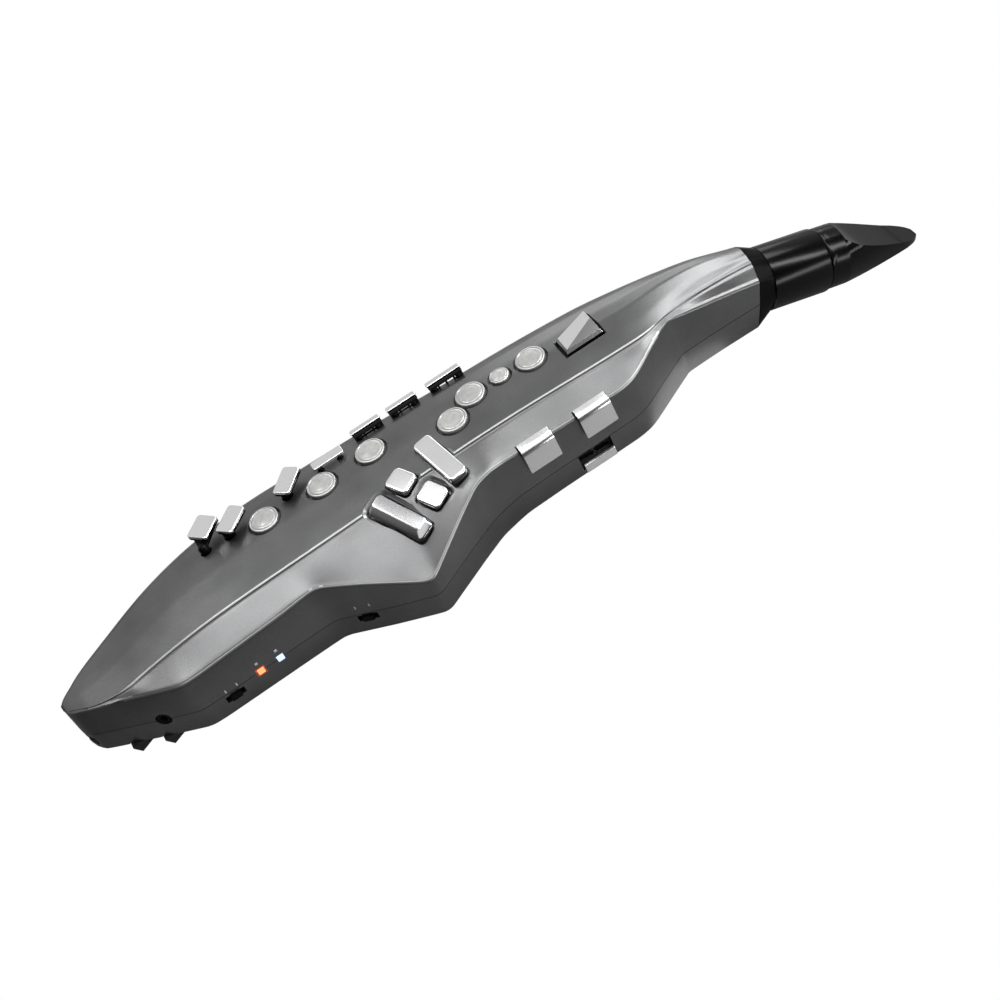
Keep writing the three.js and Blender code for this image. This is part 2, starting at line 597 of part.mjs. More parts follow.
for (const [name, along] of palmKeyShares) {
  const x = along * BODY_LENGTH;
  const station = stationAt(x);
  const key = addPiece(name, palmKey(), chromeFinish);
  key.position.set(x, station.near, station.nearTop);
  const notchLong = PALM.long + 2 * BAR_WELL_MARGIN;
  const notchDeep = PALM.flange + BAR_WELL_MARGIN;
  const notch = moved(box(notchLong, 2 * notchDeep, WELL_REACH), 0, 0, -PALM_NOTCH);
  const block = moved(
    box(notchLong + 2 * WELL_WALL, 2 * (notchDeep + WELL_WALL), WELL_REACH + WELL_WALL),
    0, 0, -PALM_NOTCH - WELL_WALL,
  );
  const groove = post(PALM.bead + SEAT_GAP, notchLong).rotate([0, 90, 0]);
  seatInPanel(key, block, notch.add(groove.translate([-notchLong / 2, beadY, beadZ])));
}

// The low palm key: a lip in a recess of the lower wall, pushed straight in
const LOW_PALM = { long: 16.8, lip: 5.2, foot: 3.2, out: 2.8, deep: 5 };
const lowPalmPlaceShares = [0.1, 0.08];
{
  const x = lowPalmPlaceShares[0] * BODY_LENGTH;
  const z = lowPalmPlaceShares[1] * BODY_HEIGHT;
  const recessTop = PART_HEIGHT - z - SEAT_GAP;
  const lip = prismAlongX([
    [-LOW_PALM.out, 0],
    [LOW_PALM.deep - KEY_TRAVEL - SEAT_GAP, 0],
    [LOW_PALM.deep - KEY_TRAVEL - SEAT_GAP, LOW_PALM.foot],
    [SEAT_GAP, LOW_PALM.foot],
    [-LOW_PALM.out / 2, LOW_PALM.lip],
    [-LOW_PALM.out, LOW_PALM.lip - SEAT_GAP],
  ], LOW_PALM.long);
  const rod = post(STEM_RADIUS / 2, 2 * LOW_PALM.deep).rotate([-90, 0, 0])
    .translate([0, LOW_PALM.deep - KEY_TRAVEL - 2 * SEAT_GAP, LOW_PALM.foot / 2]);
  const key = addPiece("low_palm_key", lip.add(rod), chromeFinish);
  key.position.set(x, stationAt(x).near, z);
  const long = LOW_PALM.long + 2 * BAR_WELL_MARGIN;
  const recess = moved(box(long, 2 * LOW_PALM.deep, recessTop + SEAT_GAP), 0, 0, -SEAT_GAP);
  const backing = moved(
    box(long + 2 * WELL_WALL, 2 * (LOW_PALM.deep + WELL_FLOOR), PART_HEIGHT),
    0, 0, -z,
  );
  const rodHole = post(STEM_RADIUS / 2 + SEAT_GAP, 4 * LOW_PALM.deep).rotate([-90, 0, 0])
    .translate([0, 0, LOW_PALM.foot / 2]);
  key.updateMatrix();
  lowerBosses.push(backing.transform(key.matrix.toArray()));
  lowerCuts.push(recess.add(rodHole).transform(key.matrix.toArray()));
}

// Keys on the flat back face the other way. Rows: name, place, plate size.
const BACK_KEY_CORNER = 1.5;
const BACK_KEY_RISE = 2.2;
const OCTAVE_KEY = { long: 8, wide: 19 };
const backKeyShares = [
  ["octave_key_low", 0.0475, -0.02, OCTAVE_KEY],
  ["octave_key_high", 0.1315, -0.02, OCTAVE_KEY],
  ["octave_key_third", 0.158, -0.02, OCTAVE_KEY],
];
function seatInBack(mesh, wellBlock, wellCut) {
  mesh.updateMatrix();
  const place = mesh.matrix.toArray();
  lowerBosses.push(wellBlock.transform(place));
  lowerCuts.push(wellCut.transform(place));
}
for (const [name, along, across, size] of backKeyShares) {
  const height = KEY_SKIRT + BACK_KEY_RISE;
  const cap = moved(roundedPlate(size.long, size.wide, BACK_KEY_CORNER, height, PLATE_BEVEL), 0, 0, -KEY_SKIRT);
  const key = addPiece(name, cap.add(stem(STEM_RADIUS, -KEY_SKIRT)), chromeFinish);
  key.position.set(along * BODY_LENGTH, across * BODY_WIDTH, 0);
  key.rotation.x = Math.PI;
  const long = size.long + 2 * SEAT_GAP;
  const wide = size.wide + 2 * SEAT_GAP;
  const block = box(long + WELL_WALL, wide + WELL_WALL, WELL_REACH - FLOOR_BOTTOM);
  const well = roundedPlate(long, wide, BACK_KEY_CORNER, WELL_REACH - FLOOR_TOP);
  seatInBack(key, moved(block, 0, 0, FLOOR_BOTTOM), moved(well, 0, 0, FLOOR_TOP).add(stemHole(STEM_RADIUS)));
}

const FUNCTION_BUTTON_RADIUS = 3.5;
const FUNCTION_BUTTON_RISE = 0.8;
const functionButtonShares = [
  ["function_button_1", 0.0525, -0.22],
  ["function_button_2", 0.0845, -0.22],
];
for (const [name, along, across] of functionButtonShares) {
  const cap = post(FUNCTION_BUTTON_RADIUS, KEY_SKIRT + FUNCTION_BUTTON_RISE);
  const button = addPiece(name, moved(cap, 0, 0, -KEY_SKIRT).add(stem(STEM_RADIUS / 2, -KEY_SKIRT)), mattBlack);
  button.position.set(along * BODY_LENGTH, across * BODY_WIDTH, 0);
  button.rotation.x = Math.PI;
  const wellRadius = FUNCTION_BUTTON_RADIUS + SEAT_GAP;
  const block = moved(post(wellRadius + WELL_WALL, WELL_REACH - FLOOR_BOTTOM), 0, 0, FLOOR_BOTTOM);
  const well = moved(post(wellRadius, WELL_REACH - FLOOR_TOP), 0, 0, FLOOR_TOP);
  seatInBack(button, block, well.add(stemHole(STEM_RADIUS / 2)));
}

// Pads and feet of rubber, each let into the back. A recess takes half of the wall.
const PAD_SEAT = WALL / 2;
const PAD_RISE = PAD_SEAT - SEAT_GAP;
const THUMB_REST = { radius: 10, stand: 2.2 };
const thumbRestPlaceShares = [0.0895, -0.02];
{
  const rest = post(THUMB_REST.radius, THUMB_REST.stand + PAD_RISE, ROUND_SIDES, THUMB_REST.radius - PAD_SEAT);
  const mesh = addPiece("thumb_rest", rest.translate([0, 0, -PAD_RISE]), rubberBlack);
  mesh.position.set(thumbRestPlaceShares[0] * BODY_LENGTH, thumbRestPlaceShares[1] * BODY_WIDTH, 0);
  mesh.rotation.x = Math.PI;
  mesh.updateMatrix();
  const seat = post(THUMB_REST.radius + SEAT_GAP, 2 * PAD_SEAT, ROUND_SIDES).translate([0, 0, -PAD_SEAT]);
  lowerCuts.push(seat.transform(mesh.matrix.toArray()));
}

const FOOT = { wide: 6, tall: 4.8, long: 13.5 };
const footPlaceShares = [
  ["tail_foot_1", -0.553, -0.183, 0.2],
  ["tail_foot_2", -0.5135, -0.255, 0.2],
];
for (const [name, along, across, backShare] of footPlaceShares) {
  const wedge = prismAlongY([
    [-FOOT.long / 2, PAD_RISE],
    [-FOOT.long / 2, 0],
    [-FOOT.long / 2 + FOOT.long * backShare, -FOOT.tall],
    [FOOT.long / 2, 0],
    [FOOT.long / 2, PAD_RISE],
  ], FOOT.wide);
  const foot = addPiece(name, wedge, rubberBlack);
  foot.position.set(along * BODY_LENGTH, across * BODY_WIDTH, 0);
  const seat = box(FOOT.long + 2 * SEAT_GAP, FOOT.wide + 2 * SEAT_GAP, 2 * PAD_SEAT);
  lowerCuts.push(seat.translate([along * BODY_LENGTH, across * BODY_WIDTH, -PAD_SEAT]));
}

// A square pad in the middle of the back, set apart by a shallow groove
const BACK_PAD = { side: 16, groove: 1, deep: 0.6 };
{
  const outer = box(BACK_PAD.side + 2 * BACK_PAD.groove, BACK_PAD.side + 2 * BACK_PAD.groove, 2 * BACK_PAD.deep);
  const inner = box(BACK_PAD.side, BACK_PAD.side, 4 * BACK_PAD.deep).translate([0, 0, -BACK_PAD.deep]);
  lowerCuts.push(outer.subtract(inner).translate([0, 0, -BACK_PAD.deep]));
}

// Battery bay: a closed box in the lower shell for two columns of three cells, under a hinged
// cover. The bay takes its size from the cells.
const CELL = { radius: 7.25, long: 50.5, nub: 1.3, nubRadius: 2.7 };
const CELL_END_GAP = 1.27;
const CELL_SIDE_GAP = 0.62;
const CELL_LIFT = 0.85;
const COVER_THICK = 2;
const BAY_WALL = 1.6;
const BAY_PITCH = 3.4;
const bayPlaceShares = [-0.489, -0.01];
const BAY_LONG = 2 * CELL.long + 3 * CELL_END_GAP;
const BAY_WIDE = 6 * CELL.radius + 4 * CELL_SIDE_GAP;
const BAY_LEFT = bayPlaceShares[0] * BODY_LENGTH;
const BAY_RIGHT = BAY_LEFT + BAY_LONG;
const BAY_MIDDLE_X = (BAY_LEFT + BAY_RIGHT) / 2;
const BAY_MIDDLE_Y = bayPlaceShares[1] * BODY_WIDTH;
const BAY_FAR = BAY_MIDDLE_Y + BAY_WIDE / 2;
const CELL_LEVEL = COVER_THICK + CELL_LIFT + CELL.radius;
const BAY_CEILING = CELL_LEVEL + CELL.radius + CELL_LIFT;
{
  const walls = box(BAY_LONG + 2 * BAY_WALL, BAY_WIDE + 2 * BAY_WALL, BAY_CEILING + BAY_WALL);
  lowerWalls.push(moved(walls, BAY_MIDDLE_X, BAY_MIDDLE_Y, 0));
  const room = box(BAY_LONG, BAY_WIDE, BAY_CEILING + CUT_OVERRUN);
  lowerCuts.push(moved(room, BAY_MIDDLE_X, BAY_MIDDLE_Y, -CUT_OVERRUN));
}
const COVER = { gap: 0.4, pin: 0.55, pinLong: 1.4, pinGap: 0.35 };
{
  const hingeX = BAY_LEFT + COVER.gap + COVER_THICK / 2;
  const wide = BAY_WIDE - 2 * COVER.gap;
  const long = BAY_RIGHT - COVER.gap - hingeX;
  const turnedAcross = (shape) => shape.rotate([-90, 0, 0]);
  const barrel = turnedAcross(post(COVER_THICK / 2, wide)).translate([0, -wide / 2, 0]);
  const pins = turnedAcross(post(COVER.pin, wide + 2 * COVER.pinLong)).translate([0, -wide / 2 - COVER.pinLong, 0]);
  const plate = box(long, wide, COVER_THICK).translate([long / 2, 0, -COVER_THICK / 2]);
  const grips = [0.86, 0.9, 0.94].map((share) =>
    box(COVER_THICK, wide / 3, COVER_THICK).translate([long * share, 0, COVER_THICK * -1.25]));
  const cover = addPiece("battery_cover", joined([plate, barrel, pins]).subtract(joined(grips)), mattBlack);
  cover.position.set(hingeX, BAY_MIDDLE_Y, COVER_THICK / 2);
  const pinRoom = wide + 2 * (COVER.pinLong + COVER.pinGap + COVER.gap);
  const pinHole = turnedAcross(post(COVER.pin + COVER.pinGap, pinRoom)).translate([0, -pinRoom / 2, 0]);
  lowerCuts.push(moved(pinHole, hingeX, BAY_MIDDLE_Y, COVER_THICK / 2));
}

[-1, 1].forEach((columnSide, column) => {
  [-1, 0, 1].forEach((rowSide, row) => {
    const body = post(CELL.radius, CELL.long - CELL.nub, SMALL_SIDES + CORNER_STEPS);
    const cell = addPiece(`battery_cell_${3 * column + row + 1}`, body.add(post(CELL.nubRadius, CELL.long)), cellJacket);
    const facing = rowSide === 0 ? -1 : 1;
    cell.rotation.y = facing * Math.PI / 2;
    const x = BAY_MIDDLE_X + columnSide * (CELL.long + CELL_END_GAP) / 2;
    const y = BAY_MIDDLE_Y + rowSide * (2 * CELL.radius + CELL_SIDE_GAP);
    cell.position.set(x - facing * CELL.long / 2, y, CELL_LEVEL);
  });
});

// Circuit board on four posts of the lower shell
const BOARD = { near: -24, far: 19, level: 19, thick: 1.6, corner: 2 };
const boardEndShare = 0.158;
const BOARD_POST_RADIUS = 3;
const BOARD_POST_INSET = 7;
{
  const left = BAY_RIGHT + BAY_WALL + BAY_PITCH;
  const long = boardEndShare * BODY_LENGTH - left;
  const wide = BOARD.far - BOARD.near;
  const middleX = left + long / 2;
  const middleY = (BOARD.near + BOARD.far) / 2;
  const board = addPiece("main_board", roundedPlate(long, wide, BOARD.corner, BOARD.thick), boardGreen);
  board.position.set(middleX, middleY, BOARD.level);
  for (const side of [-1, 1]) {
    for (const end of [-1, 1]) {
      const x = middleX + end * (long / 2 - BOARD_POST_INSET);
      const y = middleY + side * (wide / 2 - BOARD_POST_INSET);
      lowerWalls.push(moved(post(BOARD_POST_RADIUS, BOARD.level - SEAT_GAP - WALL / 2), x, y, WALL / 2));
    }
  }
}

// Loudspeaker on a ring of the floor, over a row of sound slots
const SPEAKER = { radius: 13.5, tall: 8, slotLong: 15, slotWide: 1.6, slotPitch: 4 };
const speakerPlaceShares = [0.2315, 0];
{
  const x = speakerPlaceShares[0] * BODY_LENGTH;
  const y = speakerPlaceShares[1] * BODY_WIDTH;
  const profile = [
    [0, 0],
    [SPEAKER.radius, 0],
    [SPEAKER.radius, SPEAKER.tall / 4],
    [SPEAKER.radius * 0.6, SPEAKER.tall * 0.6],
    [SPEAKER.radius * 0.6, SPEAKER.tall],
    [0, SPEAKER.tall],
  ];
  const speaker = addPiece("speaker", lathed(profile), mattBlack);
  speaker.position.set(x, y, WALL + SEAT_GAP);
  for (const step of [-2, -1, 0, 1, 2]) {
    const slot = box(SPEAKER.slotWide, SPEAKER.slotLong, WALL + 2 * CUT_OVERRUN);
    lowerCuts.push(moved(slot, x + step * SPEAKER.slotPitch, y, -CUT_OVERRUN));
  }
}

// Four screws from the back into pillars that come down from the panel
const SCREW = { head: 2.8, headTall: 1.6, shank: 1.5, sunk: 0.6, long: 13, pillar: 3.7, split: 8.5 };
const screwShares = [
  [-0.563, -0.020],
  [-0.4265, BAY_FAR / BODY_WIDTH],
  [-0.1975, -0.405],
  [0.1895, -0.215],
];
screwShares.forEach(([along, across], count) => {
  const x = along * BODY_LENGTH;
  const besideBay = count === 1 ? BAY_WALL + SCREW.pillar + SCREW.sunk + SEAT_GAP : 0;
  const y = across * BODY_WIDTH + besideBay;
  const head = post(SCREW.head, SCREW.headTall);
  const shank = post(SCREW.shank, SCREW.long - SCREW.sunk);
  const screw = addPiece(`case_screw_${count + 1}`, head.add(shank), steelFinish);
  screw.position.set(x, y, SCREW.sunk);
  const seatTop = SCREW.sunk + SCREW.headTall + SEAT_GAP;
  const headRoom = post(SCREW.head + SEAT_GAP, seatTop + CUT_OVERRUN).translate([0, 0, -CUT_OVERRUN]);
  const shankRoom = post(SCREW.shank + SEAT_GAP, SCREW.long + CUT_OVERRUN);
  lowerBosses.push(moved(post(SCREW.pillar + WALL / 2, SCREW.split), x, y, 0));
  lowerCuts.push(moved(headRoom.add(shankRoom), x, y, 0));
  const ceiling = panelHeight(x, y) - WALL / 2;
  const pillar = post(SCREW.pillar, ceiling - SCREW.split - SEAT_GAP).translate([0, 0, SCREW.split + SEAT_GAP]);
  upperPillars.push(moved(pillar.subtract(shankRoom), x, y, 0));
});

// Thumb hook on a rail, to slide along the back
const RAIL = { long: 38, base: 14, web: 4, flange: 10, drop: 3, flangeThick: 1.6 };
const railPlaceShare = -0.02;
const RAIL_X = BAY_RIGHT + BAY_WALL + BAY_PITCH + RAIL.long / 2;
const HOOK = { long: 14, wide: 17, top: 1, bottom: 7.2, arm: 2.4, reach: 30, footWide: 26, drop: 23.2, lip: 5 };
{
  const x = RAIL_X;
  const y = railPlaceShare * BODY_WIDTH;
  const base = box(RAIL.long, RAIL.base, 2 * PAD_RISE - SEAT_GAP).translate([0, 0, SEAT_GAP - PAD_RISE]);
  const web = box(RAIL.long, RAIL.web, RAIL.drop + RAIL.flangeThick).translate([0, 0, -RAIL.drop - RAIL.flangeThick]);
  const flange = box(RAIL.long, RAIL.flange, RAIL.flangeThick).translate([0, 0, -RAIL.drop - RAIL.flangeThick]);
  const rail = addPiece("hook_rail", joined([base, web, flange]), mattBlack);
  rail.position.set(x, y, 0);
  const seat = box(RAIL.long + 2 * SEAT_GAP, RAIL.base + 2 * SEAT_GAP, 2 * PAD_SEAT).translate([0, 0, -PAD_SEAT]);
  lowerCuts.push(moved(seat, x, y, 0));

  const block = box(HOOK.long, HOOK.wide, HOOK.bottom - HOOK.top).translate([0, 0, -HOOK.bottom]);
  const stalk = prismAlongY([
    [-HOOK.long / 2, -HOOK.top - HOOK.arm],
    [-HOOK.long / 2, -HOOK.drop + HOOK.arm],
    [-HOOK.long / 2 + HOOK.arm, -HOOK.drop],
    [HOOK.reach - HOOK.long / 2 - HOOK.arm / 2, -HOOK.drop],
    [HOOK.reach - HOOK.long / 2, -HOOK.drop + HOOK.arm / 2],
    [HOOK.reach - HOOK.long / 2, -HOOK.drop + HOOK.lip],
    [HOOK.reach - HOOK.long / 2 - HOOK.arm, -HOOK.drop + HOOK.lip],
    [HOOK.reach - HOOK.long / 2 - 2 * HOOK.arm, -HOOK.drop + HOOK.arm],
    [-HOOK.long / 2 + 2 * HOOK.arm, -HOOK.drop + HOOK.arm],
    [-HOOK.long / 2 + HOOK.arm, -HOOK.drop + 2 * HOOK.arm],
    [-HOOK.long / 2 + HOOK.arm, -HOOK.bottom - HOOK.arm],
    [-HOOK.long / 2 + 2 * HOOK.arm, -HOOK.bottom],
    [-HOOK.long / 2 + 2 * HOOK.arm, -HOOK.top - HOOK.arm],
  ], HOOK.footWide);
  const slack = 2 * SEAT_GAP;
  const slot = box(2 * HOOK.long, RAIL.flange + slack, RAIL.flangeThick + slack)
    .translate([0, 0, -RAIL.drop - RAIL.flangeThick - SEAT_GAP]);
  const throat = box(2 * HOOK.long, RAIL.web + slack, RAIL.drop + RAIL.flangeThick)
    .translate([0, 0, -RAIL.drop - RAIL.flangeThick]);
  const hook = addPiece("thumb_hook", block.add(stalk).subtract(slot.add(throat)), mattBlack);
  hook.position.set(x, y, 0);
}

// Strap lug below the back, with a wire ring through it
const LUG = { long: 10, thick: 2.4, drop: 7.4, hole: 2.1, holeDrop: 4.3 };
const RING = { radius: 6, wire: 1.2, sides: 24, wireSides: 8 };
const LUG_PITCH = 18;
const lugPlaceShare = -0.08;
{
  const x = RAIL_X + RAIL.long / 2 + LUG_PITCH;
  const y = lugPlaceShare * BODY_WIDTH;
  const plate = prismAlongY([
    [-LUG.long / 2, WALL / 2],
    [-LUG.long / 2, -LUG.holeDrop],
    [-LUG.long / 4, -LUG.drop],
    [LUG.long / 4, -LUG.drop],
    [LUG.long / 2, -LUG.holeDrop],
    [LUG.long / 2, WALL / 2],
  ], LUG.thick);
  const hole = post(LUG.hole, 2 * LUG.thick).rotate([-90, 0, 0]).translate([0, -LUG.thick, -LUG.holeDrop]);
  lowerWalls.push(moved(plate.subtract(hole), x, y, 0));
  const torus = new THREE.TorusGeometry(RING.radius, RING.wire, RING.wireSides, RING.sides);
  const ring = addPiece("strap_ring", cutSolid(torus).rotate([0, 90, 0]).translate([0, 0, -RING.radius]), steelFinish);
  ring.position.set(x, y, -LUG.holeDrop);
}

// Fittings in the side wall. A wall frame has its X along the wall and its Y into the body.
function wallFrame(along, height) {
  const x = along * BODY_LENGTH;
  const ahead = stationAt(x + CUT_OVERRUN);
  const behind = stationAt(x - CUT_OVERRUN);
  const frame = new THREE.Object3D();
  frame.position.set(x, stationAt(x).near, height);
  frame.rotation.z = Math.atan2(ahead.near - behind.near, ahead.x - behind.x);
  frame.updateMatrix();
  return frame;
}
function placeInWall(mesh, frame) {
  mesh.position.copy(frame.position);
  mesh.rotation.copy(frame.rotation);
}
function cutInWall(shape, frame) {
  const placed = shape.transform(frame.matrix.toArray());
  lowerCuts.push(placed);
  upperCuts.push(placed);
}
const LIGHT = { side: 3.4, deep: 5, proud: 0.3 };
const lightShares = [
  ["power_light", -0.3855, amberLens],
  ["link_light", -0.3576, blueLens],
];
for (const [name, along, lens] of lightShares) {
  const frame = wallFrame(along, PART_HEIGHT);
  const pipe = box(LIGHT.side, LIGHT.deep, LIGHT.side).translate([0, LIGHT.deep / 2 - LIGHT.proud, -LIGHT.side / 2]);
  placeInWall(addPiece(name, pipe, lens), frame);
  const room = LIGHT.side + 2 * SEAT_GAP;
  cutInWall(box(room, 4 * WALL, room).translate([0, 0, -room / 2]), frame);
}

const SLIDER_TRAVEL = 2;
const SLIDER = { tall: 3.4, flange: 1.4, flangeExtra: 1.2, proud: 1.1 };
const sliderShares = [
  ["power_slider", -0.4265, 0.226, 5.4],
  ["bite_slider", -0.2426, 0.245, 5.4],
];
const WALL_THROUGH = INNER_NEAR;
for (const [name, along, high, long] of sliderShares) {
  const frame = wallFrame(along, high * BODY_HEIGHT);
  const knobDeep = SLIDER.proud + WALL_THROUGH + 2 * SEAT_GAP;
  const knob = box(long, knobDeep, SLIDER.tall).translate([0, knobDeep / 2 - SLIDER.proud, -SLIDER.tall / 2]);
  const flangeSide = SLIDER.tall + 2 * SLIDER.flangeExtra;
  const flangeY = WALL_THROUGH + SEAT_GAP + SLIDER.flange / 2;
  const flange = box(long + 2 * (SLIDER_TRAVEL + SLIDER.flangeExtra), SLIDER.flange, flangeSide)
    .translate([0, flangeY, -flangeSide / 2]);
  placeInWall(addPiece(name, knob.add(flange), capFinish), frame);
  const slotLong = long + 2 * (SLIDER_TRAVEL + SEAT_GAP);
  const slotTall = SLIDER.tall + 2 * SEAT_GAP;
  cutInWall(box(slotLong, 4 * WALL, slotTall).translate([0, 0, -slotTall / 2]), frame);
  const behind = flangeSide + 2 * SEAT_GAP;
  const room = box(2 * slotLong, 2 * WALL, behind)
    .translate([0, WALL_THROUGH + WALL, -behind / 2]);
  cutInWall(room, frame);
}

const JACK = { radius: 3.6, bore: 1.8, deep: 13, sunk: 0.5 };
const jackShare = -0.5158;
{
  const frame = wallFrame(jackShare, PART_HEIGHT);
  const intoWall = (shape) => shape.rotate([-90, 0, 0]);
  const barrel = intoWall(post(JACK.radius, JACK.deep)).translate([0, JACK.sunk, 0]);
  const bore = intoWall(post(JACK.bore, JACK.deep)).translate([0, -JACK.radius, 0]);
  placeInWall(addPiece("phones_jack", barrel.subtract(bore), mattBlack), frame);
  cutInWall(intoWall(post(JACK.radius + SEAT_GAP, 8 * WALL)).translate([0, -2 * WALL, 0]), frame);
}

const PORT = { wide: 10, tall: 5.6, deep: 9, slotWide: 8, slotTall: 2.6, sunk: 0.8, level: 6.6 };
const portShares = [-0.6115, -0.0566];
{
  const tail = stations[0];
  const next = stations[1];
  const frame = new THREE.Object3D();
  frame.position.set(portShares[0] * BODY_LENGTH, portShares[1] * BODY_WIDTH, PORT.level);
  frame.rotation.z = Math.atan2(next.near - tail.near, next.x - tail.x);
  frame.updateMatrix();
  const housing = box(PORT.wide, PORT.deep, PORT.tall).translate([0, PORT.deep / 2 + PORT.sunk, -PORT.tall / 2]);
  const mouth = box(PORT.slotWide, PORT.deep, PORT.slotTall).translate([0, 0, -PORT.slotTall / 2]);
  placeInWall(addPiece("usb_port", housing.subtract(mouth), mattBlack), frame);
  const wide = PORT.wide + 2 * SEAT_GAP;
  const tall = PORT.tall + 2 * SEAT_GAP;
  cutInWall(box(wide, 2 * (PORT.deep + PORT.sunk + SEAT_GAP), tall).translate([0, 0, -tall / 2]), frame);
}

// Collar: it carries the body's end section over to the round sleeve
const toNeck = neck.matrix.clone().invert();
const bodyRings = stations.map((station) =>
  outerSection(station).map((point) => new THREE.Vector3(...point).applyMatrix4(toNeck)));
const endRing = bodyRings[0].flatMap((start, k) => {
  const crossing = (index) => {
    const row = bodyRings.findIndex((ring) => ring[index].x > SEAT_GAP);
    const before = bodyRings[row - 1][index];
    const after = bodyRings[row][index];
    return before.clone().lerp(after, (SEAT_GAP - before.x) / (after.x - before.x));
  };
  const here = crossing(k);
  const ahead = crossing((k + 1) % bodyRings[0].length);
  return [here, here.clone().lerp(ahead, 1 / 2)];
});
const roundRing = (radius, x) => endRing.map(({ y, z }) => {
  const angle = Math.atan2(z, y);
  return [x, radius * Math.cos(angle), radius * Math.sin(angle)];
});
const JOINT_RADIUS = SLEEVE_RADIUS - SLEEVE_WALL - FIT_GAP;
const COLLAR_BORE = JOINT_RADIUS - SLEEVE_WALL;
const COLLAR_TENON = 6;
const collarSkin = loft([endRing.map(({ x, y, z }) => [x, y, z]), roundRing(SLEEVE_RADIUS, COLLAR_LENGTH)]);
const spigot = alongNeck(post(COLLAR_SPIGOT_RADIUS, COLLAR_SPIGOT + COLLAR_LENGTH / 2, ROUND_SIDES));
const tenon = alongNeck(post(JOINT_RADIUS, COLLAR_TENON + COLLAR_LENGTH / 2, ROUND_SIDES));
const collarBore = alongNeck(post(COLLAR_BORE, 4 * COLLAR_LENGTH, ROUND_SIDES));
const collar = joined([
  collarSkin,
  moved(spigot, -COLLAR_SPIGOT, 0, 0),
  moved(tenon, COLLAR_LENGTH / 2, 0, 0),
]).subtract(moved(collarBore, -2 * COLLAR_LENGTH, 0, 0));
addPiece("neck_collar", collar, mattBlack, neck);

const tube = (outer, inner, length, sides = ROUND_SIDES) =>
  alongNeck(post(outer, length, sides).subtract(moved(post(inner, 2 * length, sides), 0, 0, -length / 2)));
const sleeve = tube(SLEEVE_RADIUS, SLEEVE_RADIUS - SLEEVE_WALL, SLEEVE_LENGTH - SEAT_GAP);
addPiece("mouthpiece_sleeve", moved(sleeve, COLLAR_LENGTH + SEAT_GAP, 0, 0), glossBlack, neck);

// Mouthpiece: a round shank and barrel that a sloping beak and a flat table cut to a thin tip
const BEAK = { start: 10, tipTop: -3, tipBottom: -4.2, tableStart: 2.5, tableLevel: -11.4, tipWide: 15 };
const SHANK_LENGTH = 16;
const CHAMBER_RADIUS = 6;
const MOUTH_X = COLLAR_LENGTH + SLEEVE_LENGTH + SEAT_GAP;
// The beak's hollow curve: share of the mouthpiece's length, share of its radius
const beakShares = [
  [0.235, 0.74],
  [0.3, 0.61],
  [0.41, 0.45],
  [0.57, 0.24],
  [0.75, 0.02],
];
{
  const radius = MOUTHPIECE_RADIUS;
  const barrel = alongNeck(post(radius, MOUTHPIECE_LENGTH, ROUND_SIDES));
  const side = prismAlongY([
    [0, -radius],
    [BEAK.tableStart, -radius],
    [BEAK.tableStart, BEAK.tableLevel],
    [MOUTHPIECE_LENGTH, BEAK.tipBottom],
    [MOUTHPIECE_LENGTH, BEAK.tipTop],
    ...beakShares.map(([along, up]) => [along * MOUTHPIECE_LENGTH, up * radius]).reverse(),
    [BEAK.start, radius],
    [0, radius],
  ], 4 * radius);
  const half = BEAK.tipWide / 2;
  const plan = new THREE.Shape([
    new THREE.Vector2(0, -radius),
    new THREE.Vector2(BEAK.start, -radius),
    new THREE.Vector2(MOUTHPIECE_LENGTH * 0.9, -half),
    new THREE.Vector2(MOUTHPIECE_LENGTH, -half / 2),
    new THREE.Vector2(MOUTHPIECE_LENGTH, half / 2),
    new THREE.Vector2(MOUTHPIECE_LENGTH * 0.9, half),
    new THREE.Vector2(BEAK.start, radius),
    new THREE.Vector2(0, radius),
  ]);
  const planGeometry = new THREE.ExtrudeGeometry(plan, { depth: 4 * radius, bevelEnabled: false });
  const planSolid = moved(cutSolid(planGeometry), 0, 0, -2 * radius);
  const shank = alongNeck(post(JOINT_RADIUS, SHANK_LENGTH + BEAK.tableStart / 2, ROUND_SIDES));
  const chamberLong = SHANK_LENGTH + MOUTHPIECE_LENGTH * 0.2;
  const chamber = alongNeck(post(CHAMBER_RADIUS, 2 * chamberLong, ROUND_SIDES));
  const solid = barrel.intersect(side).intersect(planSolid)
    .add(moved(shank, -SHANK_LENGTH, 0, 0))
    .subtract(moved(chamber, -SHANK_LENGTH - chamberLong, 0, 0));
  const mouthpiece = addPiece("mouthpiece", solid, glossBlack, neck);
  mouthpiece.position.x = MOUTH_X;
}

// The reed lies flat under the table, thick at its heel and thin at the tip
const REED = { wide: 12.6, heel: 1.7, tip: 0.5, start: 4.5 };
{
  const slope = (BEAK.tipBottom - BEAK.tableLevel) / (MOUTHPIECE_LENGTH - BEAK.tableStart);
  const level = (along) => BEAK.tableLevel + (along - BEAK.tableStart) * slope - SEAT_GAP;
  const middle = MOUTHPIECE_LENGTH / 2;
  const blade = prismAlongY([
    [REED.start, level(REED.start)],
    [REED.start, level(REED.start) - REED.heel],
    [middle, level(middle) - REED.heel * 0.8],
    [MOUTHPIECE_LENGTH, level(MOUTHPIECE_LENGTH) - REED.tip],
    [MOUTHPIECE_LENGTH, level(MOUTHPIECE_LENGTH)],
  ], REED.wide);
  const reed = addPiece("reed", blade, mattBlack, neck);
  reed.position.x = MOUTH_X;
}

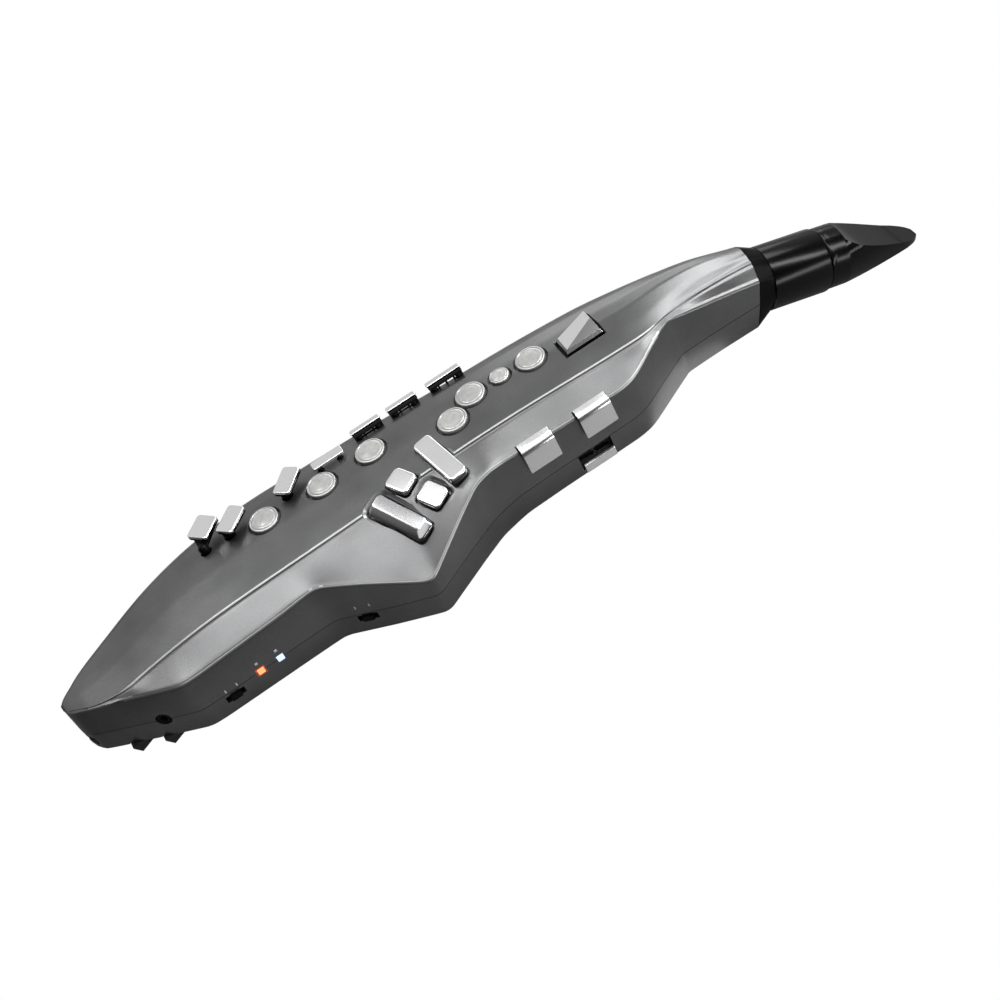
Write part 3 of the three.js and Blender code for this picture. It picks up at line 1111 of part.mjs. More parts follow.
// The air tube leads from the mouthpiece to the breath sensor's nipple
const SENSOR = { long: 12, wide: 12, tall: 10, nipple: 2.2, nippleLong: 6, pillar: 8 };
const TUBE_START = -24;
const TUBE_END = MOUTH_X + 6;
addPiece("air_tube", moved(tube(TUBE_RADIUS, TUBE_BORE, TUBE_END - TUBE_START, SMALL_SIDES), TUBE_START, 0, 0), rubberBlack, neck);
{
  const bodyX = TUBE_START - SEAT_GAP - SENSOR.long / 2;
  const nipple = alongNeck(post(SENSOR.nipple, SENSOR.nippleLong + SENSOR.long / 2));
  const sensorBox = box(SENSOR.long, SENSOR.wide, SENSOR.tall).translate([0, 0, -SENSOR.tall / 2]);
  addPiece("breath_sensor", moved(sensorBox.add(nipple), bodyX, 0, 0), mattBlack, neck);
  const seat = new THREE.Vector3(bodyX, 0, -SENSOR.tall / 2).applyMatrix4(neck.matrix);
  const over = inNeck(box(2 * SENSOR.long, 2 * SENSOR.wide, 2 * SENSOR.tall)
    .translate([bodyX, 0, -SENSOR.tall / 2 - SEAT_GAP]));
  const pillar = moved(box(SENSOR.pillar, SENSOR.pillar, seat.z + SENSOR.pillar), seat.x, seat.y, WALL / 2);
  lowerWalls.push(pillar.subtract(over));
}

const upperShell = upperHalf(hollowBody.add(joined(upperBosses).intersect(outerBody)))
  .add(joined(upperPillars).intersect(outerBody))
  .subtract(joined(upperCuts))
  .subtract(neckHole);
const lowerShell = lowerHalf(hollowBody.add(joined(lowerBosses).intersect(outerBody)))
  .add(joined(lowerWalls))
  .subtract(joined(lowerCuts))
  .subtract(neckHole);
addPiece("upper_shell", upperShell, panelFinish);
addPiece("lower_shell", lowerShell, panelFinish);

export default instrument;
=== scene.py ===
# A digital wind controller dressed for its photograph: painted shells, chromed keys, black neck
# and mouthpiece. Lengths in the piece sections are in millimetres, in the frame's own axes.
import math
import bmesh
import bpy
from mathutils import Matrix, Vector


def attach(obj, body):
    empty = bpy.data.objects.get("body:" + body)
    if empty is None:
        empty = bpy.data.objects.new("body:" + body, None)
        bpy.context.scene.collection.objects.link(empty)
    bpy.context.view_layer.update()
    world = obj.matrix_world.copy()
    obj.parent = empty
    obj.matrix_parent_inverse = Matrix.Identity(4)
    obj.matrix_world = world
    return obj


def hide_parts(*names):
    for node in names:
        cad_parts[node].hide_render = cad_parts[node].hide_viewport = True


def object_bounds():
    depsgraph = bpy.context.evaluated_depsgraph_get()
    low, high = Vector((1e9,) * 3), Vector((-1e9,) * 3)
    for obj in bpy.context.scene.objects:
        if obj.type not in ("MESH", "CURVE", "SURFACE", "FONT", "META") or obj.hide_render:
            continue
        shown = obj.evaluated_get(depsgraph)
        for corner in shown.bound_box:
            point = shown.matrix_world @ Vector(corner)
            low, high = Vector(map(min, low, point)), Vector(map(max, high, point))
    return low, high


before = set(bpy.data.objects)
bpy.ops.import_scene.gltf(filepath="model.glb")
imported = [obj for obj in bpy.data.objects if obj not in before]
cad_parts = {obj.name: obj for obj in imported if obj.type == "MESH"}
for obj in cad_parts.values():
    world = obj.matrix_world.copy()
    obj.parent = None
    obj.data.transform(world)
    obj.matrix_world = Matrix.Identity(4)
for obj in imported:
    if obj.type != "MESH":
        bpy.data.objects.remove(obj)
cad_box = [list(corner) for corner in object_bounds()]
scene = bpy.context.scene
scene.view_settings.view_transform = "Standard"

# Camera: it looks down on the near edge from the tail's side, through a long lens
SENSOR_WIDTH = 36
FOCAL_LENGTH = 72
CAMERA_PLACE = (-0.078715, -0.678272, 0.673637)
CAMERA_TURNS = (40.69478, 20.09766, -27.66862)
camera_data = bpy.data.cameras.new("view_camera")
camera_data.sensor_width = SENSOR_WIDTH
camera_data.lens = FOCAL_LENGTH
camera = bpy.data.objects.new("view_camera", camera_data)
camera.location = CAMERA_PLACE
camera.rotation_euler = [math.radians(turn) for turn in CAMERA_TURNS]
scene.collection.objects.link(camera)
scene.camera = camera

# Studio: white to the camera. To the object the room is lit pale behind the far edge and dim in front, the
# floor's colour is painted dark in front and past the tail as painted shade for the object to mirror, and
# soft boxes stand round it.
FLOOR_DROP = 0.0006
FLOOR_REACH = 4.0
FLOOR_ROUGHNESS = 0.9


def fade_along(tree, axis, low, high, dark, pale):
    """A value that eases from dark to pale while the given axis runs from low to high."""
    place = tree.nodes.new("ShaderNodeTexCoord")
    axes = tree.nodes.new("ShaderNodeSeparateXYZ")
    fade = tree.nodes.new("ShaderNodeMapRange")
    fade.interpolation_type = "SMOOTHSTEP"
    for socket, value in (("From Min", low), ("From Max", high), ("To Min", dark), ("To Max", pale)):
        fade.inputs[socket].default_value = value
    tree.links.new(place.outputs["Object"], axes.inputs["Vector"])
    tree.links.new(axes.outputs[axis], fade.inputs["Value"])
    return fade.outputs["Result"]


def white_to_camera(tree, real, white, surface):
    """The camera sees plain white, and the object's mirrors and light see the real shader."""
    path = tree.nodes.new("ShaderNodeLightPath")
    choose = tree.nodes.new("ShaderNodeMixShader")
    tree.links.new(path.outputs["Is Camera Ray"], choose.inputs["Fac"])
    tree.links.new(real, choose.inputs[1])
    tree.links.new(white, choose.inputs[2])
    tree.links.new(choose.outputs["Shader"], surface)


world = bpy.data.worlds.new("studio")
scene.world = world
world.use_nodes = True
sky = world.node_tree
room_light = sky.nodes["Background"]
room_light.inputs["Color"].default_value = (1, 1, 1, 1)
room_strength = fade_along(sky, "Y", low=-0.1, high=0.55, dark=0.05, pale=0.65)
sky.links.new(room_strength, room_light.inputs["Strength"])
backdrop = sky.nodes.new("ShaderNodeBackground")
backdrop.inputs["Color"].default_value = (1, 1, 1, 1)
white_to_camera(sky, room_light.outputs["Background"], backdrop.outputs["Background"],
                sky.nodes["World Output"].inputs["Surface"])

floor_level = cad_box[0][2] - FLOOR_DROP
floor_maker = bmesh.new()
bmesh.ops.create_grid(floor_maker, x_segments=1, y_segments=1, size=FLOOR_REACH,
                      matrix=Matrix.Translation((0, 0, floor_level)))
floor_mesh = bpy.data.meshes.new("floor")
floor_maker.to_mesh(floor_mesh)
floor_maker.free()
floor = bpy.data.objects.new("floor", floor_mesh)
scene.collection.objects.link(floor)
floor_paint = bpy.data.materials.new("floor_paint")
floor_paint.use_nodes = True
tree = floor_paint.node_tree
sheet = tree.nodes["Principled BSDF"]
sheet.inputs["Roughness"].default_value = FLOOR_ROUGHNESS
# painted shade: the floor's colour darkens in front of the object and past the tail
near_to_far = fade_along(tree, "Y", low=-0.34, high=-0.08, dark=0.05, pale=0.27)
tail_to_neck = fade_along(tree, "X", low=-0.3, high=-0.2, dark=0.25, pale=1)
both = tree.nodes.new("ShaderNodeMath")
both.operation = "MULTIPLY"
tree.links.new(near_to_far, both.inputs[0])
tree.links.new(tail_to_neck, both.inputs[1])
tree.links.new(both.outputs["Value"], sheet.inputs["Base Color"])
glow = tree.nodes.new("ShaderNodeEmission")
white_to_camera(tree, sheet.outputs["BSDF"], glow.outputs["Emission"],
                tree.nodes["Material Output"].inputs["Surface"])
floor_mesh.materials.append(floor_paint)

# each soft box: its place, what it faces, its two sides and how bright it looks in a mirror
for name, place, aim, size, radiance in (
    ("tail_box", (-0.24, 0.31, 0.8), (-0.14, 0, 0), (0.22, 0.3), 7.5),
    ("bulge_box", (0.02, -0.04, 0.82), (-0.06, 0, 0), (0.3, 0.24), 5.1),
    ("facet_box", (-0.05, 0.105, 0.82), (-0.08, 0, 0), (0.3, 0.07), 3),
    ("key_box", (-0.02, 0.25, 0.82), (-0.04, 0, 0), (0.4, 0.3), 0.45),
    ("side_box", (-0.55, 0.05, 0.85), (-0.06, 0, 0), (0.3, 0.4), 0.15),
    ("edge_box", (-0.05, -0.44, 0.88), (-0.05, 0, 0), (1.0, 0.5), 1.6),
    ("neck_box", (0.58, 0.25, 0.84), (0.12, 0, 0), (0.36, 0.66), 6.9),
    ("under_neck", (0.1, -0.022, floor_level + 0.001), (0.1, -0.022, 1), (0.05, 0.03), 1.0),
    ("rim_box", (0.52, 1.0, 0.42), (0.1, 0, 0), (0.7, 0.4), 2.2),
    ("sleeve_box", (0.8, -0.35, 0.75), (0.18, 0, 0), (0.16, 0.9), 17),
    ("sleeve_low", (0.62, -0.8, 0.06), (0.18, 0, 0), (0.7, 0.14), 10),
):
    light = bpy.data.lights.new(name, "AREA")
    light.shape = "RECTANGLE"
    light.size, light.size_y = size
    light.energy = radiance * math.pi * size[0] * size[1]
    lamp = bpy.data.objects.new(name, light)
    lamp.location = place
    lamp.rotation_euler = (Vector(aim) - Vector(place)).to_track_quat("-Z", "Y").to_euler()
    scene.collection.objects.link(lamp)

# The body's form, by the same stations as the frame, in shares of its length, width and height.
# Each row gives the place along the length, then where the near wall, the ridge and the far wall
# stand, then the heights of the near edge, the ridge, the far wall and the crown.
MM = 0.001
LONG = 380
WIDE = 100
TALL = 43
station_shares = [
    [-0.613, -0.036, -0.026, -0.002, 0.660, 0.675, 0.640, 0.010],
    [-0.605, -0.113, -0.100, 0.035, 0.720, 0.738, 0.665, 0.012],
    [-0.582, -0.162, -0.150, 0.098, 0.747, 0.766, 0.686, 0.012],
    [-0.555, -0.215, -0.203, 0.157, 0.756, 0.777, 0.690, 0.012],
    [-0.537, -0.250, -0.195, 0.187, 0.758, 0.792, 0.694, 0.012],
    [-0.511, -0.302, -0.182, 0.239, 0.763, 0.815, 0.700, 0.012],
    [-0.483, -0.356, -0.175, 0.288, 0.767, 0.842, 0.708, 0.012],
    [-0.472, -0.377, -0.173, 0.306, 0.770, 0.853, 0.712, 0.012],
    [-0.449, -0.381, -0.171, 0.338, 0.775, 0.879, 0.720, 0.012],
    [-0.408, -0.378, -0.170, 0.380, 0.795, 0.916, 0.735, 0.012],
    [-0.368, -0.375, -0.170, 0.408, 0.812, 0.935, 0.745, 0.012],
    [-0.326, -0.372, -0.170, 0.423, 0.830, 0.947, 0.755, 0.012],
    [-0.289, -0.370, -0.170, 0.424, 0.865, 0.954, 0.765, 0.012],
    [-0.276, -0.372, -0.170, 0.422, 0.870, 0.956, 0.768, 0.012],
    [-0.247, -0.430, -0.170, 0.414, 0.814, 0.961, 0.775, 0.012],
    [-0.217, -0.490, -0.170, 0.405, 0.740, 0.968, 0.780, 0.012],
    [-0.170, -0.577, -0.170, 0.395, 0.581, 0.977, 0.788, 0.012],
    [-0.157, -0.599, -0.170, 0.392, 0.548, 0.979, 0.790, 0.012],
    [-0.148, -0.584, -0.170, 0.390, 0.560, 0.981, 0.791, 0.012],
    [-0.136, -0.559, -0.170, 0.387, 0.605, 0.983, 0.793, 0.012],
    [-0.110, -0.508, -0.170, 0.378, 0.698, 0.987, 0.796, 0.012],
    [-0.084, -0.456, -0.170, 0.368, 0.786, 0.991, 0.798, 0.012],
    [-0.050, -0.394, -0.170, 0.354, 0.898, 0.998, 0.800, 0.012],
    [-0.026, -0.372, -0.170, 0.344, 0.912, 1.000, 0.800, 0.012],
    [-0.009, -0.359, -0.170, 0.340, 0.884, 1.000, 0.798, 0.012],
    [0.044, -0.354, -0.170, 0.336, 0.835, 0.991, 0.785, 0.012],
    [0.105, -0.353, -0.170, 0.330, 0.814, 0.965, 0.762, 0.018],
    [0.160, -0.351, -0.170, 0.317, 0.793, 0.937, 0.740, 0.026],
    [0.180, -0.337, -0.170, 0.309, 0.793, 0.930, 0.735, 0.030],
    [0.198, -0.301, -0.170, 0.300, 0.805, 0.928, 0.730, 0.034],
    [0.224, -0.246, -0.172, 0.281, 0.851, 0.921, 0.712, 0.040],
    [0.247, -0.198, -0.160, 0.262, 0.860, 0.905, 0.690, 0.052],
    [0.260, -0.171, -0.138, 0.252, 0.845, 0.888, 0.676, 0.066],
    [0.271, -0.170, -0.120, 0.241, 0.830, 0.872, 0.662, 0.080],
    [0.295, -0.169, -0.104, 0.217, 0.785, 0.850, 0.630, 0.094],
    [0.321, -0.170, -0.092, 0.190, 0.735, 0.826, 0.590, 0.098],
    [0.347, -0.173, -0.085, 0.165, 0.688, 0.800, 0.540, 0.092],
    [0.371, -0.176, -0.080, 0.144, 0.640, 0.765, 0.465, 0.056],
    [0.395, -0.178, -0.076, 0.130, 0.590, 0.725, 0.395, 0.036],
    [0.425, -0.179, -0.074, 0.122, 0.525, 0.670, 0.310, 0.022],
]
stations = [[share * size for share, size in zip(row, (LONG, WIDE, WIDE, WIDE, TALL, TALL, TALL, TALL))]
            for row in station_shares]
TAIL_X = stations[0][0]
NEAR, RIDGE, FAR, NEAR_TOP, RIDGE_TOP, FAR_TOP, CROWN = range(1, 8)
NECK_START = 86
SAMPLES = 3


def straight(x):
    """The station at any place along the body, on straight lines between those given."""
    row = next((k for k, station in enumerate(stations) if station[0] >= x), len(stations) - 1)
    before, after = stations[max(row, 1) - 1], stations[max(row, 1)]
    share = (x - before[0]) / (after[0] - before[0])
    return [a + share * (b - a) for a, b in zip(before, after)]


def soft(x):
    """The stations' run with its corners rounded: a little in the near wall, more on top."""
    result = [x]
    for column, reach in ((NEAR, 2.6), (RIDGE, 8), (FAR, 8), (NEAR_TOP, 3.4), (RIDGE_TOP, 8),
                          (FAR_TOP, 8), (CROWN, 8)):
        room = min(reach, max(x - TAIL_X, 0))
        if column == NEAR and x > NECK_START:
            room = 0.5
        around = [straight(x + room * k / SAMPLES)[column] for k in range(-SAMPLES, SAMPLES + 1)]
        result.append(sum(around) / len(around))
    return result


# Across the body. The crown's rows give how far over, how far down and how much of its rise. From
# the facet up to the panel, the ridge's rows give how far out from the ridge and how far below it.
crown_shares = [[0, 0, 0], [0.18, 0, 0.55], [0.42, 0, 1], [0.62, 0.09, 1], [0.78, 0.25, 0.85],
                [0.89, 0.46, 0.6], [0.96, 0.72, 0.3], [1, 1, 0]]
EDGE = 2.0
DRAFT = 0.9
STEP = 1.3
RUN = 3.0
SWELL_START = 92
SWELL_RUN = 22
CREASE_DEPTH = 0.11
CREASE_GAP = 4.6
ACROSS = 31
ridge_shares = [(0.97, 1), (0.86, 0.97), (0.72, 0.88), (0.6, 0.74), (0.52, 0.55), (0.46, 0.32), (0.38, 0.16),
                (0.26, 0.06), (0.13, 0.015), (0, 0)]


def top_line(station):
    """Points across the panel: the near edge's round, the facet, the stepped ridge, the crown."""
    x, near, ridge, far, near_top, ridge_top, far_top, crown = station
    room = ridge - near - EDGE - DRAFT
    edge = min(EDGE, room / 2)
    run = min(RUN, room / 2)
    step = min(STEP, (ridge_top - near_top) / 2)
    line = []
    for turn in (0, 20, 40, 60, 80):
        angle = math.radians(turn)
        line.append((near + DRAFT + edge * (1 - math.cos(angle)), near_top - EDGE * (1 - math.sin(angle))))
    foot = (ridge - run, ridge_top - step)
    start = line[-1]
    for share in (0.12, 0.3, 0.5, 0.7, 0.86, 0.96):
        line.append((start[0] + share * (foot[0] - start[0]), start[1] + share * (foot[1] - start[1])))
    for across, drop in ridge_shares:
        line.append((ridge - across * run, ridge_top - drop * step))
    # two soft creases run beside the ridge on the neck
    swell = min(max((x - SWELL_START) / SWELL_RUN, 0), 1)
    for k in range(1, ACROSS):
        share = 1 - (1 - k / ACROSS) ** 1.25
        row = next(n for n, (across, _, _) in enumerate(crown_shares) if across >= share)
        (a0, d0, r0), (a1, d1, r1) = crown_shares[row - 1], crown_shares[row]
        part = (share - a0) / (a1 - a0)
        drop, rise = d0 + part * (d1 - d0), r0 + part * (r1 - r0)
        off = share * (far - ridge)
        fading = max(1 - off / (2 * CREASE_GAP), 0)
        wave = swell * CREASE_DEPTH * math.sin(math.tau * off / CREASE_GAP) * fading
        line.append((ridge + off, ridge_top - drop * (ridge_top - far_top) + rise * crown - wave))
    # a small round leads over into the far wall
    line += [(far - 0.12, far_top + 0.1), (far, far_top - 0.7)]
    return line


def panel_height(x, y):
    """How high the panel stands over a place on the back."""
    line = top_line(straight(x))
    row = next((k for k, point in enumerate(line) if point[0] >= y), len(line) - 1)
    (y0, z0), (y1, z1) = line[max(row, 1) - 1], line[max(row, 1)]
    return z0 + (y - y0) / (y1 - y0) * (z1 - z0)


# The hollow inside both shells, and where the neck's end is cut off square to the sleeve. The
# shells part at one level all round, with a thin gap between them.
SPLIT = 13.5
GAP = 0.3
FACET_WALL = 5.3
THIN_FROM = 84
THINNER = 2.3
BACK_WALL = 2.4
NEAR_WALL = 3.36
FAR_WALL = 3
NECK_BORE = 11.8
TUBE_BORE = 4.3
NECK_TURN = math.radians(18.5)
neck_place = Matrix.Translation((0.3993 * LONG - 8.5 * math.cos(NECK_TURN), -2.6,
                                 12.8 + 8.5 * math.sin(NECK_TURN))) @ Matrix.Rotation(NECK_TURN, 4, "Y")
to_neck = neck_place.inverted()
along_neck = neck_place @ Matrix.Rotation(math.pi / 2, 4, "Y")
END_X = 156
TAIL_PITCH = 0.5
RING_PITCH = 1.6
ring_places = [TAIL_X + TAIL_PITCH * k for k in range(8)]
while ring_places[-1] < END_X:
    ring_places.append(ring_places[-1] + RING_PITCH)


def body_rings(section):
    """Rings all along the body, each drawn by the section from its station."""
    return [[(x, y, z) for y, z in section(soft(x))] for x in ring_places]


def block(x0, x1, y0, y1, z0, z1):
    """The lower and the upper ring of a box."""
    return [[(x0, y0, z), (x1, y0, z), (x1, y1, z), (x0, y1, z)] for z in (z0, z1)]


def disc(levels, sides=48):
    """Rings of a turned form. Each level is a height and a radius."""
    return [[(radius * math.cos(math.tau * k / sides), radius * math.sin(math.tau * k / sides), z)
             for k in range(sides)] for z, radius in levels]


HOLLOW_START = -227.5
HOLLOW_END = 131.8
HOLLOW_PITCH = 3.6
hollow_places = [HOLLOW_START + HOLLOW_PITCH * k for k in range(100)]
hollow_places = [x for x in hollow_places if x <= HOLLOW_END] + [HOLLOW_END]
inner_rings = []
for x in hollow_places:
    station = soft(x)
    roof = FACET_WALL - THINNER * min(max((x - THIN_FROM) / 8, 0), 1)
    inner = [x, station[NEAR] + NEAR_WALL, station[RIDGE] + 1.2, station[FAR] - FAR_WALL,
             station[NEAR_TOP] - roof, station[RIDGE_TOP] - roof, station[FAR_TOP] - roof + 0.6,
             station[CROWN]]
    inner_rings.append([(x, y, z) for y, z in
                        [(inner[NEAR], BACK_WALL), *top_line(inner), (inner[FAR], BACK_WALL)]])
# what lies past the neck's end goes, and the spigot and the air tube get their holes
neck_end = block(0, 60, -60, 60, -80, 80)
neck_holes = (disc([(-8.3, NECK_BORE), (6, NECK_BORE)]), disc([(-24, TUBE_BORE), (2, TUBE_BORE)], 24))

# Wells and slots for everything that passes the shells. A key has its own origin on the panel,
# a skirt that reaches into its well, and a stem in a hole under it.
SKIRT = 1.6
WELL_DEPTH = 3.4
CUT_ABOVE = 6.4
STEM = 2.6
STEM_HOLE = disc([(-CUT_ABOVE, 2.9), (0, 2.9)], 24)


def rectangle(x0, x1, y0, y1, corner, z, steps=5):
    """One ring of a rectangle with round corners."""
    corner = min(corner, (x1 - x0) / 2.02, (y1 - y0) / 2.02)
    points = []
    for x, y, start in ((x1 - corner, y1 - corner, 0), (x0 + corner, y1 - corner, 90),
                        (x0 + corner, y0 + corner, 180), (x1 - corner, y0 + corner, 270)):
        for step in range(steps + 1):
            angle = math.radians(start + 90 * step / steps)
            points.append((x + corner * math.cos(angle), y + corner * math.sin(angle), z))
    return points


def plate(long, wide, corner, levels):
    """Rings of a rounded plate. Each level is a height and how far its edge is drawn in."""
    return [rectangle(-long / 2 + inset, long / 2 - inset, -wide / 2 + inset, wide / 2 - inset,
                      max(corner - inset, 0.12), z) for z, inset in levels]


def on_panel(x, y, turn=0.0, lean=0.0):
    """A place on the panel, turned and leaning as its key does."""
    lifted = Matrix.Translation((x, y, panel_height(x, y)))
    return lifted @ Matrix.Rotation(math.radians(lean), 4, "X") @ Matrix.Rotation(math.radians(turn), 4, "Z")


# place and radius
round_keys = {
    "low_key_1": (-108.3, 16.0, 7.5), "low_key_2": (-76.95, 13.5, 7.5), "low_key_3": (-49.4, 14.1, 7.5),
    "upper_key_1": (-9.994, -0.4, 7.5), "upper_key_2": (4.104, 8.1, 7.5), "trill_key": (20.33, 8.2, 5),
    "upper_key_3": (36.86, 7.0, 7.5),
}
# place, length, width, turn and lean
table_keys = {
    "table_key_upper": (-25.27, -17.0, 31.4, 10, -80, 6),
    "table_key_left": (-45.79, -15.0, 12.6, 11.4, -62, 8),
    "table_key_right": (-37.43, -29.0, 12.6, 11.4, -61, 15),
    "table_key_lower": (-55.4, -28.8, 31.4, 10.6, -65, 15),
}
wedge = (61.64, 1.8)
# place of the stem, place of the plate, length, width and turn
levers = {
    "side_lever_1": (-139.08, 22.2, -134.33, 30.2, 13.5, 11.4, 41),
    "side_lever_2": (-125.7, 21.7, -121.2, 24.1, 15.8, 9.4, 41),
    "side_lever_3": (-93.1, 22.0, -89.5, 25.2, 16.2, 9.4, 46),
}
# place, length, and how high the strip stands
strips = {
    "side_strip_1": (-67.83, 25.8, 16.72, 2.0), "side_strip_2": (-44.27, 30, 16.34, 2.6),
    "side_strip_3": (-24.13, 30, 16.34, 2.8), "side_strip_4": (-0.57, 30, 19, 3.3),
}
STRIP_FOOT = 3
STRIP_BACK = -1.9
palm_keys = {"palm_key_1": 14.63, "palm_key_2": 45.22}
POWER_LEVEL = 0.226 * TALL
BITE_LEVEL = 0.245 * TALL
# place along the wall, height, length and how tall
wall_fittings = {
    "power_light": (-0.3855, SPLIT, 4, 4), "link_light": (-0.3576, SPLIT, 4, 4),
    "power_slider": (-0.4265, POWER_LEVEL, 10, 4), "bite_slider": (-0.2426, BITE_LEVEL, 10, 4),
}


def in_wall(along, height):
    """A place in the near wall, turned to run along it."""
    x = along * LONG
    ahead, behind = straight(x + 2), straight(x - 2)
    turn = math.atan2(ahead[NEAR] - behind[NEAR], ahead[0] - behind[0])
    return Matrix.Translation((x, straight(x)[NEAR], height)) @ Matrix.Rotation(turn, 4, "Z")


def palm_seat(x):
    """A place on the near edge, where a palm key bends over it."""
    station = straight(x)
    return Matrix.Translation((x, station[NEAR], station[NEAR_TOP]))


def wedge_outline(margin):
    """The wedge key's outline, wider by the margin all round."""
    x, y0, y1, y2 = 10.2 + margin, -5.9 - margin, 11.1 + margin, 5.9 + margin
    return [(-x, y0), (x, y0), (x, y1), (-x, y2)]


def wall_cutters():
    """Tools for what passes both shells' walls, as rows of placed rings."""
    tools = []
    for along, height, long, tall in wall_fittings.values():
        tools.append(([block(-long / 2, long / 2, -5, 5, -tall / 2, tall / 2)], in_wall(along, height)))
        if long > 5:
            tools.append(([block(-9, 9, 3.4, 8, -3.2, 3.2)], in_wall(along, height)))
    jack_place = in_wall(-0.5158, SPLIT) @ Matrix.Rotation(-math.pi / 2, 4, "X")
    tools.append(([disc([(-4, 3.9), (14, 3.9)])], jack_place))
    turn = math.atan2(stations[1][NEAR] - stations[0][NEAR], stations[1][0] - stations[0][0])
    port_place = Matrix.Translation((-0.6115 * LONG, -0.0566 * WIDE, 6.6)) @ Matrix.Rotation(turn, 4, "Z")
    tools.append(([block(-5.3, 5.3, -11, 11, -3.1, 3.1)], port_place))
    return tools


# Upper shell: one moulding in metallic paint with the crowned panel, the near facet and the side
# walls, closed down on the lower shell. One shared group gives its paint, and every other finish,
# a fine grain and a slow cloudiness.
CLOUD_SCALE = 34
CLOUD_LOW = 0.12
CLOUD_HIGH = 0.4
GRAIN_RELIEF = 0.2
grain = bpy.data.node_groups.new("grain", "ShaderNodeTree")
grain.interface.new_socket("Scale", in_out="INPUT", socket_type="NodeSocketFloat")
grain.interface.new_socket("Fine", in_out="OUTPUT", socket_type="NodeSocketFloat")
grain.interface.new_socket("Cloud", in_out="OUTPUT", socket_type="NodeSocketFloat")
entry = grain.nodes.new("NodeGroupInput")
leave = grain.nodes.new("NodeGroupOutput")
where = grain.nodes.new("ShaderNodeTexCoord")
fine = grain.nodes.new("ShaderNodeTexNoise")
fine.inputs["Detail"].default_value = 3
cloud = grain.nodes.new("ShaderNodeTexNoise")
cloud.inputs["Scale"].default_value = CLOUD_SCALE
cloud.inputs["Detail"].default_value = 2
grain.links.new(where.outputs["Object"], fine.inputs["Vector"])
grain.links.new(where.outputs["Object"], cloud.inputs["Vector"])
grain.links.new(entry.outputs["Scale"], fine.inputs["Scale"])
grain.links.new(fine.outputs["Fac"], leave.inputs["Fine"])
grain.links.new(cloud.outputs["Fac"], leave.inputs["Cloud"])


def finish(name, dark, pale, roughness, spread, scale, bump, metallic=0, **sockets):
    """A finish whose colour drifts from dark to pale, with grain in its roughness and relief."""
    material = bpy.data.materials.new(name)
    material.use_nodes = True
    nodes, links = material.node_tree.nodes, material.node_tree.links
    shader = nodes["Principled BSDF"]
    shader.inputs["Metallic"].default_value = metallic
    for socket, value in sockets.items():
        shader.inputs[socket.replace("_", " ")].default_value = value
    texture = nodes.new("ShaderNodeGroup")
    texture.node_tree = grain
    texture.inputs["Scale"].default_value = scale
    tint = nodes.new("ShaderNodeMix")
    tint.data_type = "RGBA"
    tint.inputs["A"].default_value = (*dark, 1)
    tint.inputs["B"].default_value = (*pale, 1)
    blend = nodes.new("ShaderNodeMath")
    blend.operation = "MULTIPLY"
    links.new(texture.outputs["Fine"], blend.inputs[0])
    links.new(texture.outputs["Cloud"], blend.inputs[1])
    sharpen = nodes.new("ShaderNodeMapRange")
    sharpen.inputs["From Min"].default_value = CLOUD_LOW
    sharpen.inputs["From Max"].default_value = CLOUD_HIGH
    links.new(blend.outputs["Value"], sharpen.inputs["Value"])
    links.new(sharpen.outputs["Result"], tint.inputs["Factor"])
    links.new(tint.outputs["Result"], shader.inputs["Base Color"])
    rough = nodes.new("ShaderNodeMapRange")
    rough.inputs["To Min"].default_value = roughness - spread
    rough.inputs["To Max"].default_value = roughness + spread
    links.new(texture.outputs["Cloud"], rough.inputs["Value"])
    links.new(rough.outputs["Result"], shader.inputs["Roughness"])
    relief = nodes.new("ShaderNodeBump")
    relief.inputs["Strength"].default_value = bump
    relief.inputs["Distance"].default_value = GRAIN_RELIEF * MM
    links.new(texture.outputs["Fine"], relief.inputs["Height"])
    links.new(relief.outputs["Normal"], shader.inputs["Normal"])
    return material


TOUCHING = 0.001


def piece_of(name, skins, materials, place=None, crease=32, closed=True):
    """A mesh of one or more skins, each drawn out ring by ring from the face of its first ring."""
    maker = bmesh.new()
    for number, rings in enumerate(skins):
        start = maker.faces.new([maker.verts.new(point) for point in rings[0]])
        start.material_index = max(min(number, len(materials) - 1), 0)
        end = start
        for ring in rings[1:]:
            drawn = bmesh.ops.extrude_face_region(maker, geom=[end])["geom"]
            if end is not start:
                bmesh.ops.delete(maker, geom=[end], context="FACES_ONLY")
            end = next(part for part in drawn if isinstance(part, bmesh.types.BMFace))
            for vert, point in zip(end.verts, ring):
                vert.co = point
        if not closed:
            bmesh.ops.delete(maker, geom=[start, end], context="FACES_ONLY")
            bmesh.ops.remove_doubles(maker, verts=maker.verts, dist=TOUCHING)
    bmesh.ops.recalc_face_normals(maker, faces=maker.faces)
    bmesh.ops.transform(maker, matrix=Matrix.Scale(MM, 4) @ (place or Matrix()), verts=maker.verts)
    mesh = bpy.data.meshes.new(name)
    maker.to_mesh(mesh)
    maker.free()
    mesh.shade_smooth()
    mesh.set_sharp_from_angle(angle=math.radians(crease))
    for material in materials:
        mesh.materials.append(material)
    piece = bpy.data.objects.new(name, mesh)
    scene.collection.objects.link(piece)
    return piece


